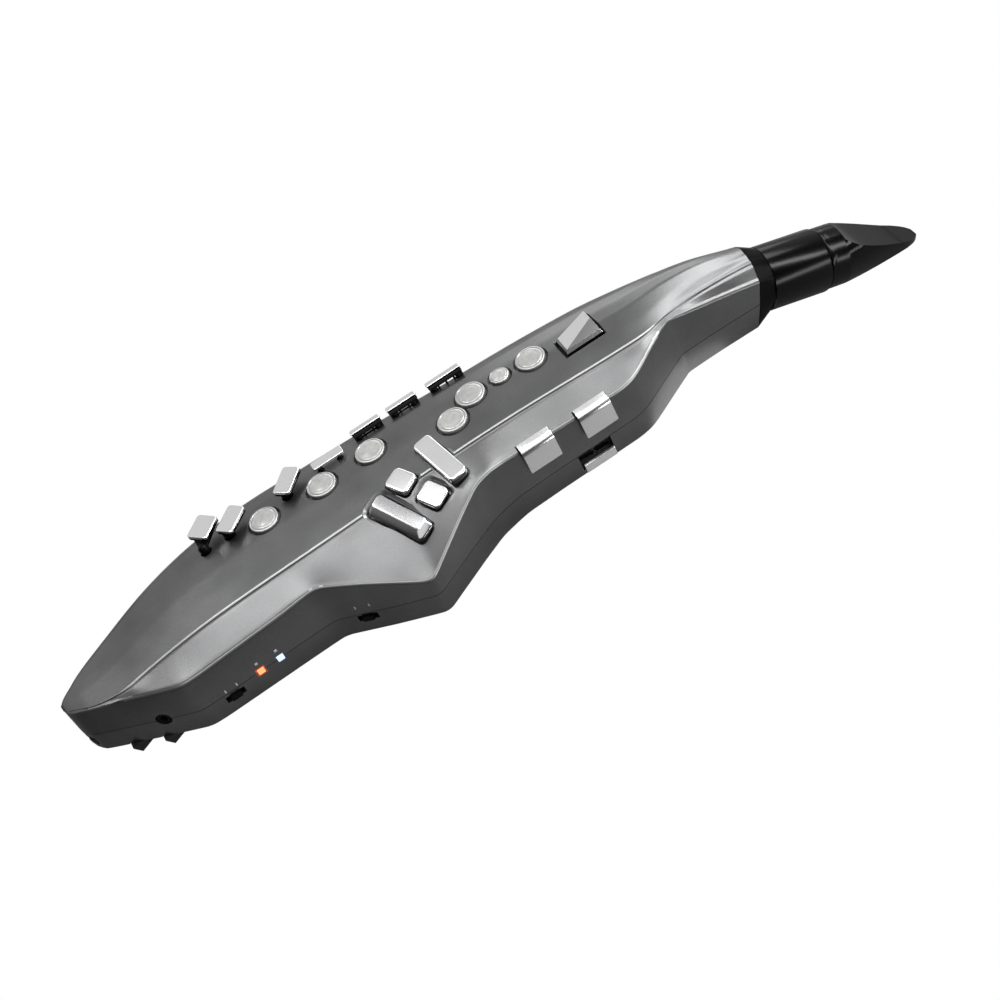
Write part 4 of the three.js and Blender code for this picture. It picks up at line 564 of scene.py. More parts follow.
def carve(piece, tool, operation="DIFFERENCE", crease=32):
    """Cuts the tool from the piece, or joins it, for good."""
    modifier = piece.modifiers.new("carve", "BOOLEAN")
    modifier.solver = "MANIFOLD"
    modifier.operation = operation
    modifier.object = tool
    bpy.context.view_layer.update()
    done = piece.evaluated_get(bpy.context.evaluated_depsgraph_get())
    mesh = bpy.data.meshes.new_from_object(done)
    for slot in range(len(mesh.materials) - 1, 0, -1):
        if mesh.materials[slot] is None:
            mesh.materials.pop(index=slot)
    piece.modifiers.clear()
    piece.data = mesh
    mesh.shade_smooth()
    mesh.set_sharp_from_angle(angle=math.radians(crease))
    bpy.data.objects.remove(tool)


def carve_all(piece, tools, operation="DIFFERENCE"):
    """Each tool is its skins and its place."""
    for skins, place in tools:
        carve(piece, piece_of("tool", skins, [], place), operation)


paint = finish("panel_paint", (0.115, 0.116, 0.117), (0.17, 0.171, 0.173), metallic=0.92,
               roughness=0.31, spread=0.04, scale=2600, bump=0.2)
# a brighter copy of the paint, for the painted highlight along the near edge and the ridge's step
edge_highlight_paint = finish("edge_highlight_paint", (0.32, 0.321, 0.323), (0.38, 0.381, 0.383), metallic=0.9,
                    roughness=0.38, spread=0.04, scale=2600, bump=0.1)
upper = piece_of("painted_upper_shell", [body_rings(
    lambda station: [(station[NEAR], SPLIT + GAP / 2), *top_line(station), (station[FAR], SPLIT + GAP / 2)])],
    [paint])
tools = [([neck_end], neck_place), ([inner_rings], None)]
tools += [([ring], along_neck) for ring in neck_holes]
# each well has a small chamfer round its mouth
ROUND_ROOM = 1.1
PLATE_ROOM = 1.4
PALM_SEAT = (-9.1, 9.1, -4.1, 4.1, -2.6, 6)
for x, y, radius in round_keys.values():
    place = on_panel(x, y)
    slope_x = panel_height(x + 3, y) - panel_height(x - 3, y)
    slope_y = panel_height(x, y + 3) - panel_height(x, y - 3)
    tilt = Vector((0, 0, 1)).rotation_difference(Vector((-slope_x, -slope_y, 6))).to_matrix().to_4x4()
    well = radius + ROUND_ROOM
    tools.append(([disc([(-WELL_DEPTH, well), (CUT_ABOVE, well)])], place))
    tools.append(([disc([(-0.5, well - 0.25), (0.5, well + 0.75)])], place @ tilt))
    tools.append(([STEM_HOLE], place))
for x, y, long, wide, turn, lean in table_keys.values():
    place = on_panel(x, y, turn, lean)
    well = [(-WELL_DEPTH, 0), (-0.9, 0), (-0.5, -0.12), (-0.1, -0.45), (0.3, -1.1), (0.8, -2.2),
            (CUT_ABOVE, -2.4)]
    tools.append(([plate(long + PLATE_ROOM, wide + PLATE_ROOM, 2.9, well)], place))
    tools.append(([STEM_HOLE], place))
wedge_well = [[(x, y, z) for x, y in wedge_outline(margin)]
              for z, margin in ((-WELL_DEPTH, 0.7), (-0.5, 0.7), (0.6, 1.6), (CUT_ABOVE, 1.7))]
tools.append(([wedge_well], on_panel(*wedge)))
tools.append(([STEM_HOLE], on_panel(*wedge)))
for x, y, *_ in levers.values():
    tools.append(([disc([(-9, 2.6), (-0.6, 2.6), (0.5, 3.6), (2, 3.6)], 32)], on_panel(x, y)))
for x, y, long, _ in strips.values():
    for side in (-1, 1):
        foot = Matrix.Translation((side * (long / 2 - STRIP_FOOT), STRIP_BACK, 0))
        tools.append(([disc([(-9, 1.8), (4, 1.8)], 24)], on_panel(x, y) @ foot))
for x in palm_keys.values():
    tools.append(([block(*PALM_SEAT)], palm_seat(x)))
    groove = Matrix.Translation((0, 2.3, -0.9)) @ Matrix.Rotation(math.pi / 2, 4, "Y")
    tools.append(([disc([(-9.1, 1.4), (9.1, 1.4)], 24)], palm_seat(x) @ groove))
carve_all(upper, tools + wall_cutters())
# a brighter copy of the paint along the near edge and the top of the ridge's step is a painted highlight
HIGHLIGHT_TAIL_GAP = 12
upper.data.materials.append(edge_highlight_paint)
highlight_index = len(upper.data.materials) - 1
for face in upper.data.polygons:
    x, y, z = (axis / MM for axis in face.center)
    station = soft(x)
    run = min(RUN, (station[RIDGE] - station[NEAR] - EDGE - DRAFT) / 2)
    across = (station[RIDGE] - y) / max(run, 0.1)
    on_step = 0.13 < across < 0.46 and z > station[RIDGE_TOP] - 2
    on_edge = 0 < y - station[NEAR] - DRAFT < 1.3 and -0.5 < station[NEAR_TOP] - z < EDGE * 0.66
    if face.normal.z > 0.3 and TAIL_X + HIGHLIGHT_TAIL_GAP < x < SWELL_START and (on_step or on_edge):
        face.material_index = highlight_index
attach(upper, "case")
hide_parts("upper_shell")

# Plain marks on the near wall: a dot over each light and a pair of ticks by each slider, printed
# in white, and a ring of red glow round the amber light
mark_white = finish("mark_white", (0.55, 0.55, 0.55), (0.68, 0.68, 0.67),
                    roughness=0.5, spread=0.05, scale=1500, bump=0.05)
glow_red = finish("amber_halo", (0.2, 0.02, 0.01), (0.3, 0.03, 0.01),
                  roughness=0.4, spread=0.05, scale=900, bump=0.05,
                  Emission_Color=(1, 0.09, 0.02, 1), Emission_Strength=0.35)
DOT = (1.4, 1.4)
TICK = (0.6, 1.9)
TICK_APART = 0.008
mark_places = [(wall_fittings[light][0], SPLIT + 5.4, *DOT) for light in ("power_light", "link_light")]
for slider, height in (("power_slider", POWER_LEVEL + 5.6), ("bite_slider", SPLIT + 5.0)):
    mark_places += [(wall_fittings[slider][0] + side * TICK_APART, height, *TICK) for side in (-1, 1)]
marks = []
for along, height, wide, tall in mark_places:
    lean = Matrix.Translation((0, (height - SPLIT) * DRAFT / (straight(along * LONG)[NEAR_TOP] - SPLIT), 0))
    spot = in_wall(along, height) @ lean
    marks.append([[tuple(spot @ Vector(point)) for point in ring]
                  for ring in block(-wide / 2, wide / 2, -0.06, 0.3, -tall / 2, tall / 2)])
wall_marks = piece_of("wall_marks", marks, [mark_white])
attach(wall_marks, "case")
HALO_HALF = 2.45
LENS_HALF = 2.0
halo_ring = [[(x * half, y, z * half) for x, z in ((-1, -1), (1, -1), (1, 1), (-1, 1))]
             for half, y in ((HALO_HALF, 0.2), (HALO_HALF, -0.05), (LENS_HALF, -0.08), (LENS_HALF, 0.2))]
halo_place = in_wall(*wall_fittings["power_light"][:2])
halo = piece_of("amber_halo", [halo_ring + [halo_ring[0]]], [glow_red], halo_place, closed=False)
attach(halo, "case")

# Lower shell: the flat back with its bay, wells and slots, painted like the upper shell. Bosses
# carry the screws and the keys of the back, and a lug holds the strap ring.
lower = piece_of("painted_lower_shell", [body_rings(
    lambda station: [(station[NEAR] + 1.1, 0), (station[NEAR] + 0.75, 0.3), (station[NEAR] + 0.5, 1),
                     (station[NEAR], SPLIT - GAP / 2), (station[FAR], SPLIT - GAP / 2),
                     (station[FAR] - 0.5, 1), (station[FAR] - 0.75, 0.3), (station[FAR] - 1.1, 0)])], [paint])
octave_keys = {"octave_key_low": 18.05, "octave_key_high": 49.97, "octave_key_third": 60.04}
buttons = {"function_button_1": (19.95, -22), "function_button_2": (32.11, -22)}
screws = ((-213.94, -2), (-162.07, 28.19), (-75.05, -40.5), (72.01, -21.5))
SPEAKER_X = 87.97
REST_X = 34.01
PALM_SLOT_X = 38
LUG_X, LUG_Y = -20.01, -8
tail_feet = ((-210.14, -18.3), (-195.13, -25.5))
# from tail to neck, near to far and low to high
BAY = (-185.82, -81.02, -24, 22, -2, 18.3)
BAY_BOX = (-187.42, -79.4, -25.58, 23.58, 1, 19.9)
RAIL_POCKET = (-76.3, -37.7, -9.3, 5.3, -2, 1.2)
BOSS_TOP = 5.4
FOOT_LONG, FOOT_WIDE, FOOT_DEEP = 14.1, 6.6, 1.2
SLOT_PITCH = 4
PAD_HALF = 9


def under(x, y):
    """A place on the back, looking down out of it."""
    return Matrix.Translation((x, y, 0)) @ Matrix.Rotation(math.pi, 4, "X")


def upright(x, y, z=0.0):
    """A place in the frame's own axes."""
    return Matrix.Translation((x, y, z))


carve_all(lower, [([neck_end], neck_place), ([inner_rings], None), ([neck_holes[0]], along_neck)])
# the bay's box, then a boss for every octave key, screw and button, and one behind the low palm key
bosses = [([block(*BAY_BOX)], None)]
bosses += [([block(x - 5.3, x + 5.3, -12.6, 8.6, 1, BOSS_TOP)], None) for x in octave_keys.values()]
bosses += [([disc([(1, 4.9), (8.5, 4.9)], 24)], upright(x, y)) for x, y in screws]
bosses += [([disc([(1, 5.2), (BOSS_TOP, 5.2)], 32)], upright(x, y)) for x, y in buttons.values()]
near_wall = straight(PALM_SLOT_X)[NEAR]
bosses.append(([block(28, 48, near_wall + 0.5, near_wall + 7, 1, 13.3)], None))
carve_all(lower, bosses, "UNION")
tools = [([block(*BAY)], None), ([block(*RAIL_POCKET)], None)]
# the octave keys and buttons slide in wells, and the screws' heads lie in round seats
for x in octave_keys.values():
    well = plate(8.6, 19.6, 1.8, [(-WELL_DEPTH, 0), (-0.4, 0), (0.5, -0.9), (2, -0.9)])
    tools.append(([well], under(x, -2)))
for x, y in buttons.values():
    tools.append(([disc([(-WELL_DEPTH, 3.8), (-0.3, 3.8), (0.4, 4.5), (2, 4.5)])], under(x, y)))
    tools.append(([disc([(-9, 1.6), (0, 1.6)], 24)], under(x, y)))
for x, y in screws:
    tools.append(([disc([(-2, 3.8), (-0.1, 3.1), (2.5, 3.1)])], upright(x, y)))
    tools.append(([disc([(2, 1.8), (20, 1.8)], 24)], upright(x, y)))
# shallow seats for the thumb rest and the tail's feet, and the speaker's slots
tools.append(([disc([(-2, 10.3), (1.2, 10.3)])], upright(REST_X, -2)))
for x, y in tail_feet:
    tools.append(([block(x - FOOT_LONG / 2, x + FOOT_LONG / 2, y - FOOT_WIDE / 2, y + FOOT_WIDE / 2,
                         -2, FOOT_DEEP)], None))
for step in range(-2, 3):
    tools.append(([plate(1.6, 15, 0.7, [(-2, -0.5), (0.1, -0.3), (0.6, 0), (4, 0)])],
                  upright(SPEAKER_X + SLOT_PITCH * step, 0)))
# a shallow groove round the square pad on the back
for x0, x1, y0, y1 in ((-PAD_HALF, PAD_HALF, -PAD_HALF, 1 - PAD_HALF),
                       (-PAD_HALF, PAD_HALF, PAD_HALF - 1, PAD_HALF),
                       (-PAD_HALF, 1 - PAD_HALF, -8.5, 8.5), (PAD_HALF - 1, PAD_HALF, -8.5, 8.5)):
    tools.append(([block(x0, x1, y0, y1, -2, 0.6)], None))
# the low palm key's recess in the near wall, with a hole for its stem
tools.append(([block(29, 47, near_wall - 5, near_wall + 5, 3.14, 14)], None))
tools.append(([disc([(0, 1.6), (20, 1.6)], 24)],
              upright(PALM_SLOT_X, near_wall, 5.04) @ Matrix.Rotation(-math.pi / 2, 4, "X")))
carve_all(lower, tools + wall_cutters())
# the strap ring's lug is moulded on, with an eye bored through it
lug_outline = [(-5, 1.2), (-5, -4.3), (-4, -6.2), (-2.5, -7.4), (2.5, -7.4), (4, -6.2), (5, -4.3), (5, 1.2)]
lug_rings = [[(x * share, y, z if z > 0 else z * share) for x, z in lug_outline]
             for y, share in ((-1.2, 0.95), (-0.9, 1), (0.9, 1), (1.2, 0.95))]
lug_place = upright(LUG_X, LUG_Y)
eye_place = upright(LUG_X, LUG_Y, -4.3) @ Matrix.Rotation(math.pi / 2, 4, "X")
carve_all(lower, [([lug_rings], lug_place)], "UNION")
carve_all(lower, [([disc([(-3, 2.6), (-0.8, 2.1), (0.8, 2.1), (3, 2.6)], 32)], eye_place)])
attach(lower, "case")
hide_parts("lower_shell")


# Round keys: a satin metal cap with a rolled rim, a fine groove and a domed pearly inlay. It is
# fixed on a dull black stem with a foot, which slides in the panel.
satin = finish("satin_cap", (0.42, 0.42, 0.42), (0.5, 0.5, 0.495), metallic=0.75,
               roughness=0.36, spread=0.05, scale=1500, bump=0.03)
pearl = finish("pearl_inlay", (0.31, 0.31, 0.305), (0.45, 0.45, 0.44), metallic=0.25,
               roughness=0.28, spread=0.06, scale=420, bump=0.04, Coat_Weight=0.3)
matt = finish("matt_finish", (0.002, 0.002, 0.002), (0.005, 0.005, 0.005),
              roughness=0.4, spread=0.1, scale=2200, bump=0.25, Specular_IOR_Level=0.06)
CAP_TOP = 1.35
CAP_SIDES = 64
INLAY_SEAT = 1.1
# the inlay's rows give how high it stands over its seat, and its share of the cap's radius
inlay_shares = ((0, 0.82), (0.22, 0.81), (0.36, 0.78), (0.48, 0.7), (0.55, 0.62), (0.53, 0.595),
                (0.53, 0.575), (0.59, 0.545), (0.69, 0.45), (0.78, 0.33), (0.84, 0.2), (0.86, 0.05))


def dress(piece, node, body=None):
    """The piece stands for its node, and moves with it or with the given body."""
    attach(piece, body or node)
    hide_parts(node)


def stem_rings(radius, underside, extra=1.4):
    """Rings of a stem on its wider foot, up to its key's underside."""
    return disc([(-7.2, radius + extra - 0.3), (-6.9, radius + extra), (-6, radius + extra),
                 (-5.7, radius + extra - 0.3), (-5.69, radius), (underside, radius)], 24)


def rounded_edge(top, radius, steps=4):
    """Levels of a quarter-round edge that ends in a flat top."""
    turns = [math.pi / 2 * k / steps for k in range(steps + 1)]
    return [(top - radius + radius * math.sin(a), radius * (1 - math.cos(a))) for a in turns]


for name, (x, y, radius) in round_keys.items():
    cap = disc([(-SKIRT, radius - 0.15), (-SKIRT + 0.15, radius)]
               + [(z, radius - inset) for z, inset in rounded_edge(CAP_TOP, 0.55)]
               + [(1.38, radius * 0.88), (1.15, radius * 0.85), (INLAY_SEAT, radius * 0.82)], CAP_SIDES)
    inlay = disc([(INLAY_SEAT + height, radius * share) for height, share in inlay_shares], CAP_SIDES)
    key = piece_of(name + "_cap", [cap, inlay, stem_rings(STEM, -SKIRT)], [satin, pearl, matt],
                   on_panel(x, y))
    dress(key, name)

# Plate keys for the right hand: chromed bars and squares with rolled edges. The lowest bar has
# a broad sloping facet along its tail side and a small one at its near end.
chrome = finish("bright_chrome", (0.86, 0.86, 0.865), (0.92, 0.92, 0.925), metallic=1,
                roughness=0.14, spread=0.004, scale=900, bump=0.0004)
darker_chrome = finish("key_darker_chrome", (0.34, 0.34, 0.345), (0.38, 0.38, 0.385), metallic=1,
                roughness=0.18, spread=0.004, scale=900, bump=0.0004)
KEY_CORNER = 2.6
KEY_TOP = 2.4
# the lowest bar's rows give a height, the inset all round, and how far the side and the end lean in
bar_shares = ((-SKIRT, 0.15, 0, 0), (-1.4, 0, 0, 0), (1.2, 0, 0, 0), (1.45, 0.1, 0.1, 0.1),
              (1.7, 0.3, 0.35, 0.3), (2.9, 0.45, 2.7, 2.6), (3.02, 0.6, 3.0, 2.9), (3.05, 1.0, 3.5, 3.5))
for name, (x, y, long, wide, turn, lean) in table_keys.items():
    if name == "table_key_lower":
        skin = darker_chrome
        rings = []
        for z, inset, side, end in bar_shares:
            rings.append(rectangle(-long / 2 + inset, long / 2 - inset - end, -wide / 2 + inset + side,
                                   wide / 2 - inset, max(KEY_TOP - inset, 0.7), z))
    else:
        skin = chrome
        levels = [(-SKIRT, 0.15), (-1.4, 0)] + rounded_edge(KEY_TOP, 0.95, 6) + [(2.42, 1.7)]
        rings = plate(long, wide, KEY_CORNER, levels)
    key = piece_of(name + "_plate", [rings, stem_rings(STEM, -SKIRT)], [skin, matt],
                   on_panel(x, y, turn, lean))
    dress(key, name)

# Wedge key for the thumb: a chromed top and a slope in darker chrome, a painted shade, that meet in a crease,
# over a black skirt. The crease runs from the near corner by the tail to the middle of the end by the neck.
gloss = finish("gloss_finish", (0.002, 0.002, 0.002), (0.004, 0.004, 0.0045),
               roughness=0.1, spread=0.02, scale=800, bump=0.01, Specular_IOR_Level=0.1)
WEDGE_CREASE = 18
skirt = [[(x, y, z) for x, y in wedge_outline(margin)] for z, margin in ((-SKIRT, -0.2), (-1.4, 0), (0.5, 0))]
low_ring = [(-9.9, -5.6, 0.45), (9.9, -5.6, 0.45), (9.9, 3.6, 0.45), (9.9, 10.8, 0.45), (-9.9, 5.6, 0.45)]
high_ring = [(-9.0, -4.9, 2.7), (9.1, -4.9, 2.3), (8.9, 3.4, 4.1), (8.7, 9.7, 4.2), (-9.0, 4.9, 2.8)]
wedge_place = on_panel(*wedge)
ramp = piece_of("thumb_ramp_key_slope", [[low_ring, high_ring], skirt, stem_rings(STEM, -SKIRT)],
                [chrome, gloss, matt, darker_chrome], wedge_place, WEDGE_CREASE)
shaper = bmesh.new()
shaper.from_mesh(ramp.data)
tops = [face for face in shaper.faces if len(face.verts) == len(high_ring)]
top_face = max(tops, key=lambda face: face.calc_center_median().z)


def corner_at(point):
    """The top face's corner nearest to a point of the wedge."""
    return min(top_face.verts, key=lambda vert: (vert.co / MM - wedge_place @ Vector(point)).length)


bmesh.utils.face_split(top_face, corner_at(high_ring[0]), corner_at(high_ring[2]))
# the slope's triangle takes the darker chrome: painted shade on a chrome slope
for face in shaper.faces:
    if len(face.verts) == 3:
        face.material_index = 3
shaper.to_mesh(ramp.data)
shaper.free()
ramp.data.set_sharp_from_angle(angle=math.radians(WEDGE_CREASE))


def soften(piece, width, angle, segments=3):
    """Rounds the edges of a piece that fold by more than the given angle."""
    modifier = piece.modifiers.new("soften", "BEVEL")
    modifier.width = width * MM
    modifier.segments = segments
    modifier.limit_method = "ANGLE"
    modifier.angle_limit = math.radians(angle)
    modifier.harden_normals = True


soften(ramp, 0.6, 14)
dress(ramp, "thumb_ramp_key")

# Pieces whose form the frame already has: a copy of each with its edges rounded. The board, the
# sensor and the speaker lie inside, the rest are small mouldings, screws and sockets.
rubber = finish("black_rubber", (0.01, 0.01, 0.01), (0.022, 0.022, 0.022),
                roughness=0.8, spread=0.08, scale=1500, bump=0.35)
steel = finish("zinc_steel", (0.42, 0.42, 0.43), (0.58, 0.58, 0.59), metallic=1,
               roughness=0.3, spread=0.1, scale=1800, bump=0.12)
board_green = finish("board_green", (0.01, 0.075, 0.03), (0.02, 0.13, 0.055), metallic=0.1,
                     roughness=0.42, spread=0.1, scale=260, bump=0.1)
cone_paper = finish("speaker_cone", (0.012, 0.012, 0.012), (0.04, 0.04, 0.04),
                    roughness=0.75, spread=0.1, scale=1300, bump=0.4)
amber = finish("amber_lens", (0.9, 0.4, 0.16), (1, 0.5, 0.22), roughness=0.3, spread=0.05, scale=900,
               bump=0.05, Emission_Color=(1, 0.4, 0.16, 1), Emission_Strength=0.8)
blue = finish("blue_lens", (0.55, 0.7, 1), (0.7, 0.8, 1), roughness=0.3, spread=0.05, scale=900,
              bump=0.05, Emission_Color=(0.55, 0.7, 1, 1), Emission_Strength=0.9)
WELD = 0.01
FLAT_ANGLE = 0.6
SHARP_ANGLE = 24


def rounded_copy(node, material, width, body=None):
    """A node's own form with its doubles merged, its flats made one and its edges rounded."""
    maker = bmesh.new()
    maker.from_mesh(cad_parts[node].data)
    bmesh.ops.remove_doubles(maker, verts=maker.verts, dist=WELD * MM)
    bmesh.ops.dissolve_limit(maker, angle_limit=math.radians(FLAT_ANGLE), verts=maker.verts,
                             edges=maker.edges)
    mesh = bpy.data.meshes.new(node + "_finished")
    maker.to_mesh(mesh)
    maker.free()
    mesh.shade_smooth()
    mesh.set_sharp_from_angle(angle=math.radians(SHARP_ANGLE))
    piece = bpy.data.objects.new(node + "_finished", mesh)
    scene.collection.objects.link(piece)
    soften(piece, width, SHARP_ANGLE)
    mesh.materials.clear()
    mesh.materials.append(material)
    dress(piece, node, body)


for node, material, width, slot, body in (
    ("low_palm_key", chrome, 0.3, "chrome_key", None),
    ("octave_key_low", chrome, 0.3, "chrome_key", None),
    ("octave_key_high", chrome, 0.3, "chrome_key", None),
    ("octave_key_third", chrome, 0.3, "chrome_key", None),
    ("function_button_1", matt, 0.2, "matt_black", None),
    ("function_button_2", matt, 0.2, "matt_black", None),
    ("power_slider", matt, 0.15, "matt_black", None),
    ("bite_slider", matt, 0.15, "matt_black", None),
    ("thumb_hook", matt, 0.6, "matt_black", None),
    ("strap_ring", steel, 0.05, "steel", None),
    ("battery_cover", matt, 0.2, "matt_black", None),
    ("hook_rail", matt, 0.3, "matt_black", "case"),
    ("thumb_rest", rubber, 0.4, "rubber_black", "case"),
    ("tail_foot_1", rubber, 0.35, "rubber_black", "case"),
    ("tail_foot_2", rubber, 0.35, "rubber_black", "case"),
    ("power_light", amber, 0.2, "amber_lens", "case"),
    ("link_light", blue, 0.2, "blue_lens", "case"),
    ("phones_jack", matt, 0.15, "matt_black", "case"),
    ("usb_port", matt, 0.15, "matt_black", "case"),
    ("speaker", cone_paper, 0.3, "speaker_mix", "case"),
    ("main_board", board_green, 0.1, "board", "case"),
    ("breath_sensor", matt, 0.3, "matt_black", "case"),
    ("air_tube", rubber, 0.1, "rubber_black", "case"),
    *((f"case_screw_{count}", steel, 0.2, "steel", "case") for count in range(1, 5)),
):
    rounded_copy(node, material, width, body)

# Battery cells: a steel can with its raised contact, in a two-tone jacket. A cell's contact is at
# the end where its node is narrow.
jacket = finish("cell_jacket", (0.16, 0.17, 0.18), (0.22, 0.23, 0.25), metallic=0.4,
                roughness=0.32, spread=0.06, scale=700, bump=0.05)
CELL_COUNT = 6
CELL_RADIUS = 7.25
JACKET_SPLIT = 34
can = disc([(0, 5.6), (0.25, 6.3), (0.6, 6.6), (48.6, 6.6), (49, 6.3), (49.2, 5.8), (49, 3.6), (49.2, 2.8),
            (50.2, 2.65), (50.5, 2.2)])
jacket_low = disc([(0.5, 6.5), (0.35, 6.9), (0.6, CELL_RADIUS), (JACKET_SPLIT, CELL_RADIUS)])
jacket_high = disc([(JACKET_SPLIT, CELL_RADIUS), (48.3, CELL_RADIUS), (48.75, 6.9), (48.6, 6.5)])
for count in range(1, CELL_COUNT + 1):
    name = f"battery_cell_{count}"
    points = [vert.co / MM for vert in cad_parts[name].data.vertices]
    (start, end), (near, far), (low, high) = ((min(axis), max(axis)) for axis in zip(*points))
    y, z = (near + far) / 2, (low + high) / 2
    contact_first = max(abs(point.y - y) for point in points if point.x < start + 0.5) < 5
    foot, way = (end, -1) if contact_first else (start, 1)
    place = upright(foot, y, z) @ Matrix.Rotation(way * math.pi / 2, 4, "Y")
    cell = piece_of(name + "_can", [jacket_low, jacket_high, can], [jacket, satin, steel], place)
    dress(cell, name, "case")

# Lever keys over the far edge: a chromed plate over dark sides, on a dark arm that narrows to a
# ball foot, whose stem slides in the panel
LEVER_LEVEL = 1.09 * TALL
PLATE_THICK = 2.9
PLATE_CORNER = 1.7
ARM_FOOT = 2.1
BALL = 2.7
BALL_HEIGHT = 2.2
arm_foot = rectangle(-ARM_FOOT, ARM_FOOT, -ARM_FOOT, ARM_FOOT, ARM_FOOT, BALL_HEIGHT)
arm_shares = ((0, 0), (0.12, 0.3), (0.4, 0.62), (0.75, 0.85), (1, 1))
ball_turns = (0.35, 0.6, 0.9, 1.2, 1.5, 1.8, 2.1, 2.4, 2.7)
ball = disc([(BALL_HEIGHT - BALL * math.cos(a), BALL * math.sin(a)) for a in ball_turns], 32)
for name, (x, y, plate_x, plate_y, long, wide, turn) in levers.items():
    top = LEVER_LEVEL - panel_height(x, y)
    local = Matrix.Translation((plate_x - x, plate_y - y, 0)) @ Matrix.Rotation(math.radians(turn), 4, "Z")
    chrome_levels = [(top - 1.1, 0)] + rounded_edge(top, 0.6, 4) + [(top, 1.2)]
    side_levels = [(top - PLATE_THICK, 0.8), (top - 2.7, 0.35), (top - 2.3, 0.05), (top - 0.9, 0.05)]
    shown, sides = ([[local @ Vector(point) for point in ring]
                     for ring in plate(long, wide, PLATE_CORNER, levels)]
                    for levels in (chrome_levels, side_levels))
    high = [local @ Vector(point) for point in rectangle(-long / 2 + 1.2, long / 2 - 1.2, -wide / 2 + 1,
                                                         wide / 2 - 1, 1.2, top - 2.8)]
    low = [Vector(point) for point in arm_foot]
    arm = [[(a.x + across * (b.x - a.x), a.y + across * (b.y - a.y), a.z + down * (b.z - a.z))
            for a, b in zip(high, low)] for across, down in arm_shares]
    key = piece_of(name + "_plate", [shown, sides, arm, ball, stem_rings(2.3, 1)], [chrome, gloss],
                   on_panel(x, y))
    dress(key, name)

# Strip keys along the far edge: a thin bright strip over a black frame with windows in it. The first
# lies further in, where the panel is higher, so it is a plain plate on its two stems.
STRIP_TOP = 1.6
for name, (x, y, long, lift) in strips.items():
    plain = name == "side_strip_1"
    thick, wide, back = (1.4, 5.6, 0) if plain else (0.9, 3.0, 1.3)
    top = lift + STRIP_TOP
    shown = [[(px, py + back, pz) for px, py, pz in ring]
             for ring in plate(long, wide, 0.9, [(top - thick, 0.3), (top + 0.2 - thick, 0)]
                               + rounded_edge(top, 0.4, 4) + [(top, 0.8)])]
    skins = [shown]
    if not plain:
        skins.append(plate(long - 0.5, 5.0, 0.6, [(lift - 0.3, 0.3), (top - thick, 0)]))
        skins.append(block(-long / 2 + 0.6, long / 2 - 0.6, -2.35, -1.0, 0.15, 0.75))
        bars = 5 if lift > 3 else 4
        for k in range(bars):
            at = (k / (bars - 1) - 0.5) * (long - 2)
            skins.append(block(at - 0.5, at + 0.5, -2.3, -1.1, -0.2, lift))
    for side in (-1, 1):
        skins.append([[(px + side * (long / 2 - STRIP_FOOT), py + STRIP_BACK, pz) for px, py, pz in ring]
                      for ring in stem_rings(1.5, lift + 0.3, 0.8)])
    key = piece_of(name + "_strip", skins, [chrome, gloss], on_panel(x, y))
    dress(key, name)

# Palm keys bent over the near edge: one chromed sheet with a rolled fold, which rocks on a bead
# under its fold
brushed = finish("satin_chrome", (0.8, 0.8, 0.805), (0.86, 0.86, 0.86), metallic=1,
                 roughness=0.26, spread=0.02, scale=900, bump=0.01)
PALM_LONG = 16.8
FOLD = 3.6
INNER_FOLD = 2.0
BEAD = 1.1


def prism(outline, long):
    """Rings of a profile in y and z, drawn along x, with softened ends."""
    centre = [sum(axis) / len(outline) for axis in zip(*outline)]
    ends = ((-long / 2, 0.97), (-long / 2 + 0.25, 1), (long / 2 - 0.25, 1), (long / 2, 0.97))
    return [[(x, centre[0] + share * (y - centre[0]), centre[1] + share * (z - centre[1]))
             for y, z in outline] for x, share in ends]


fold = [(FOLD - 3.0 - FOLD * math.cos(a), 2.2 - FOLD + FOLD * math.sin(a)) for a in
        (0, 0.2, 0.4, 0.6, 0.8, 1.0, 1.2, 1.4, math.pi / 2)]
inner = [(INNER_FOLD - 1.4 - INNER_FOLD * math.cos(a), 0.6 - INNER_FOLD + INNER_FOLD * math.sin(a)) for a in
         (0, 0.4, 0.8, 1.2, math.pi / 2)]
outline = [(-3.0, -12.1), (-2.8, -12.3), (-1.5, -12.3), (-1.4, -12.2), *inner, (3.3, 0.6),
           (3.4, 0.7), (3.4, 2.1), (3.3, 2.2), *reversed(fold)]
bead_turns = [math.tau * k / 24 for k in range(24)]
bead = [[(x, 2.3 + BEAD * math.cos(a), -0.9 + BEAD * math.sin(a)) for a in bead_turns]
        for x in (-PALM_LONG / 2, PALM_LONG / 2)]
web = block(-PALM_LONG / 2, PALM_LONG / 2, 1.75, 2.85, -0.6, 1.0)
for name, x in palm_keys.items():
    key = piece_of(name + "_sheet", [prism(outline, PALM_LONG), bead, web], [brushed, matt], palm_seat(x))
    dress(key, name)

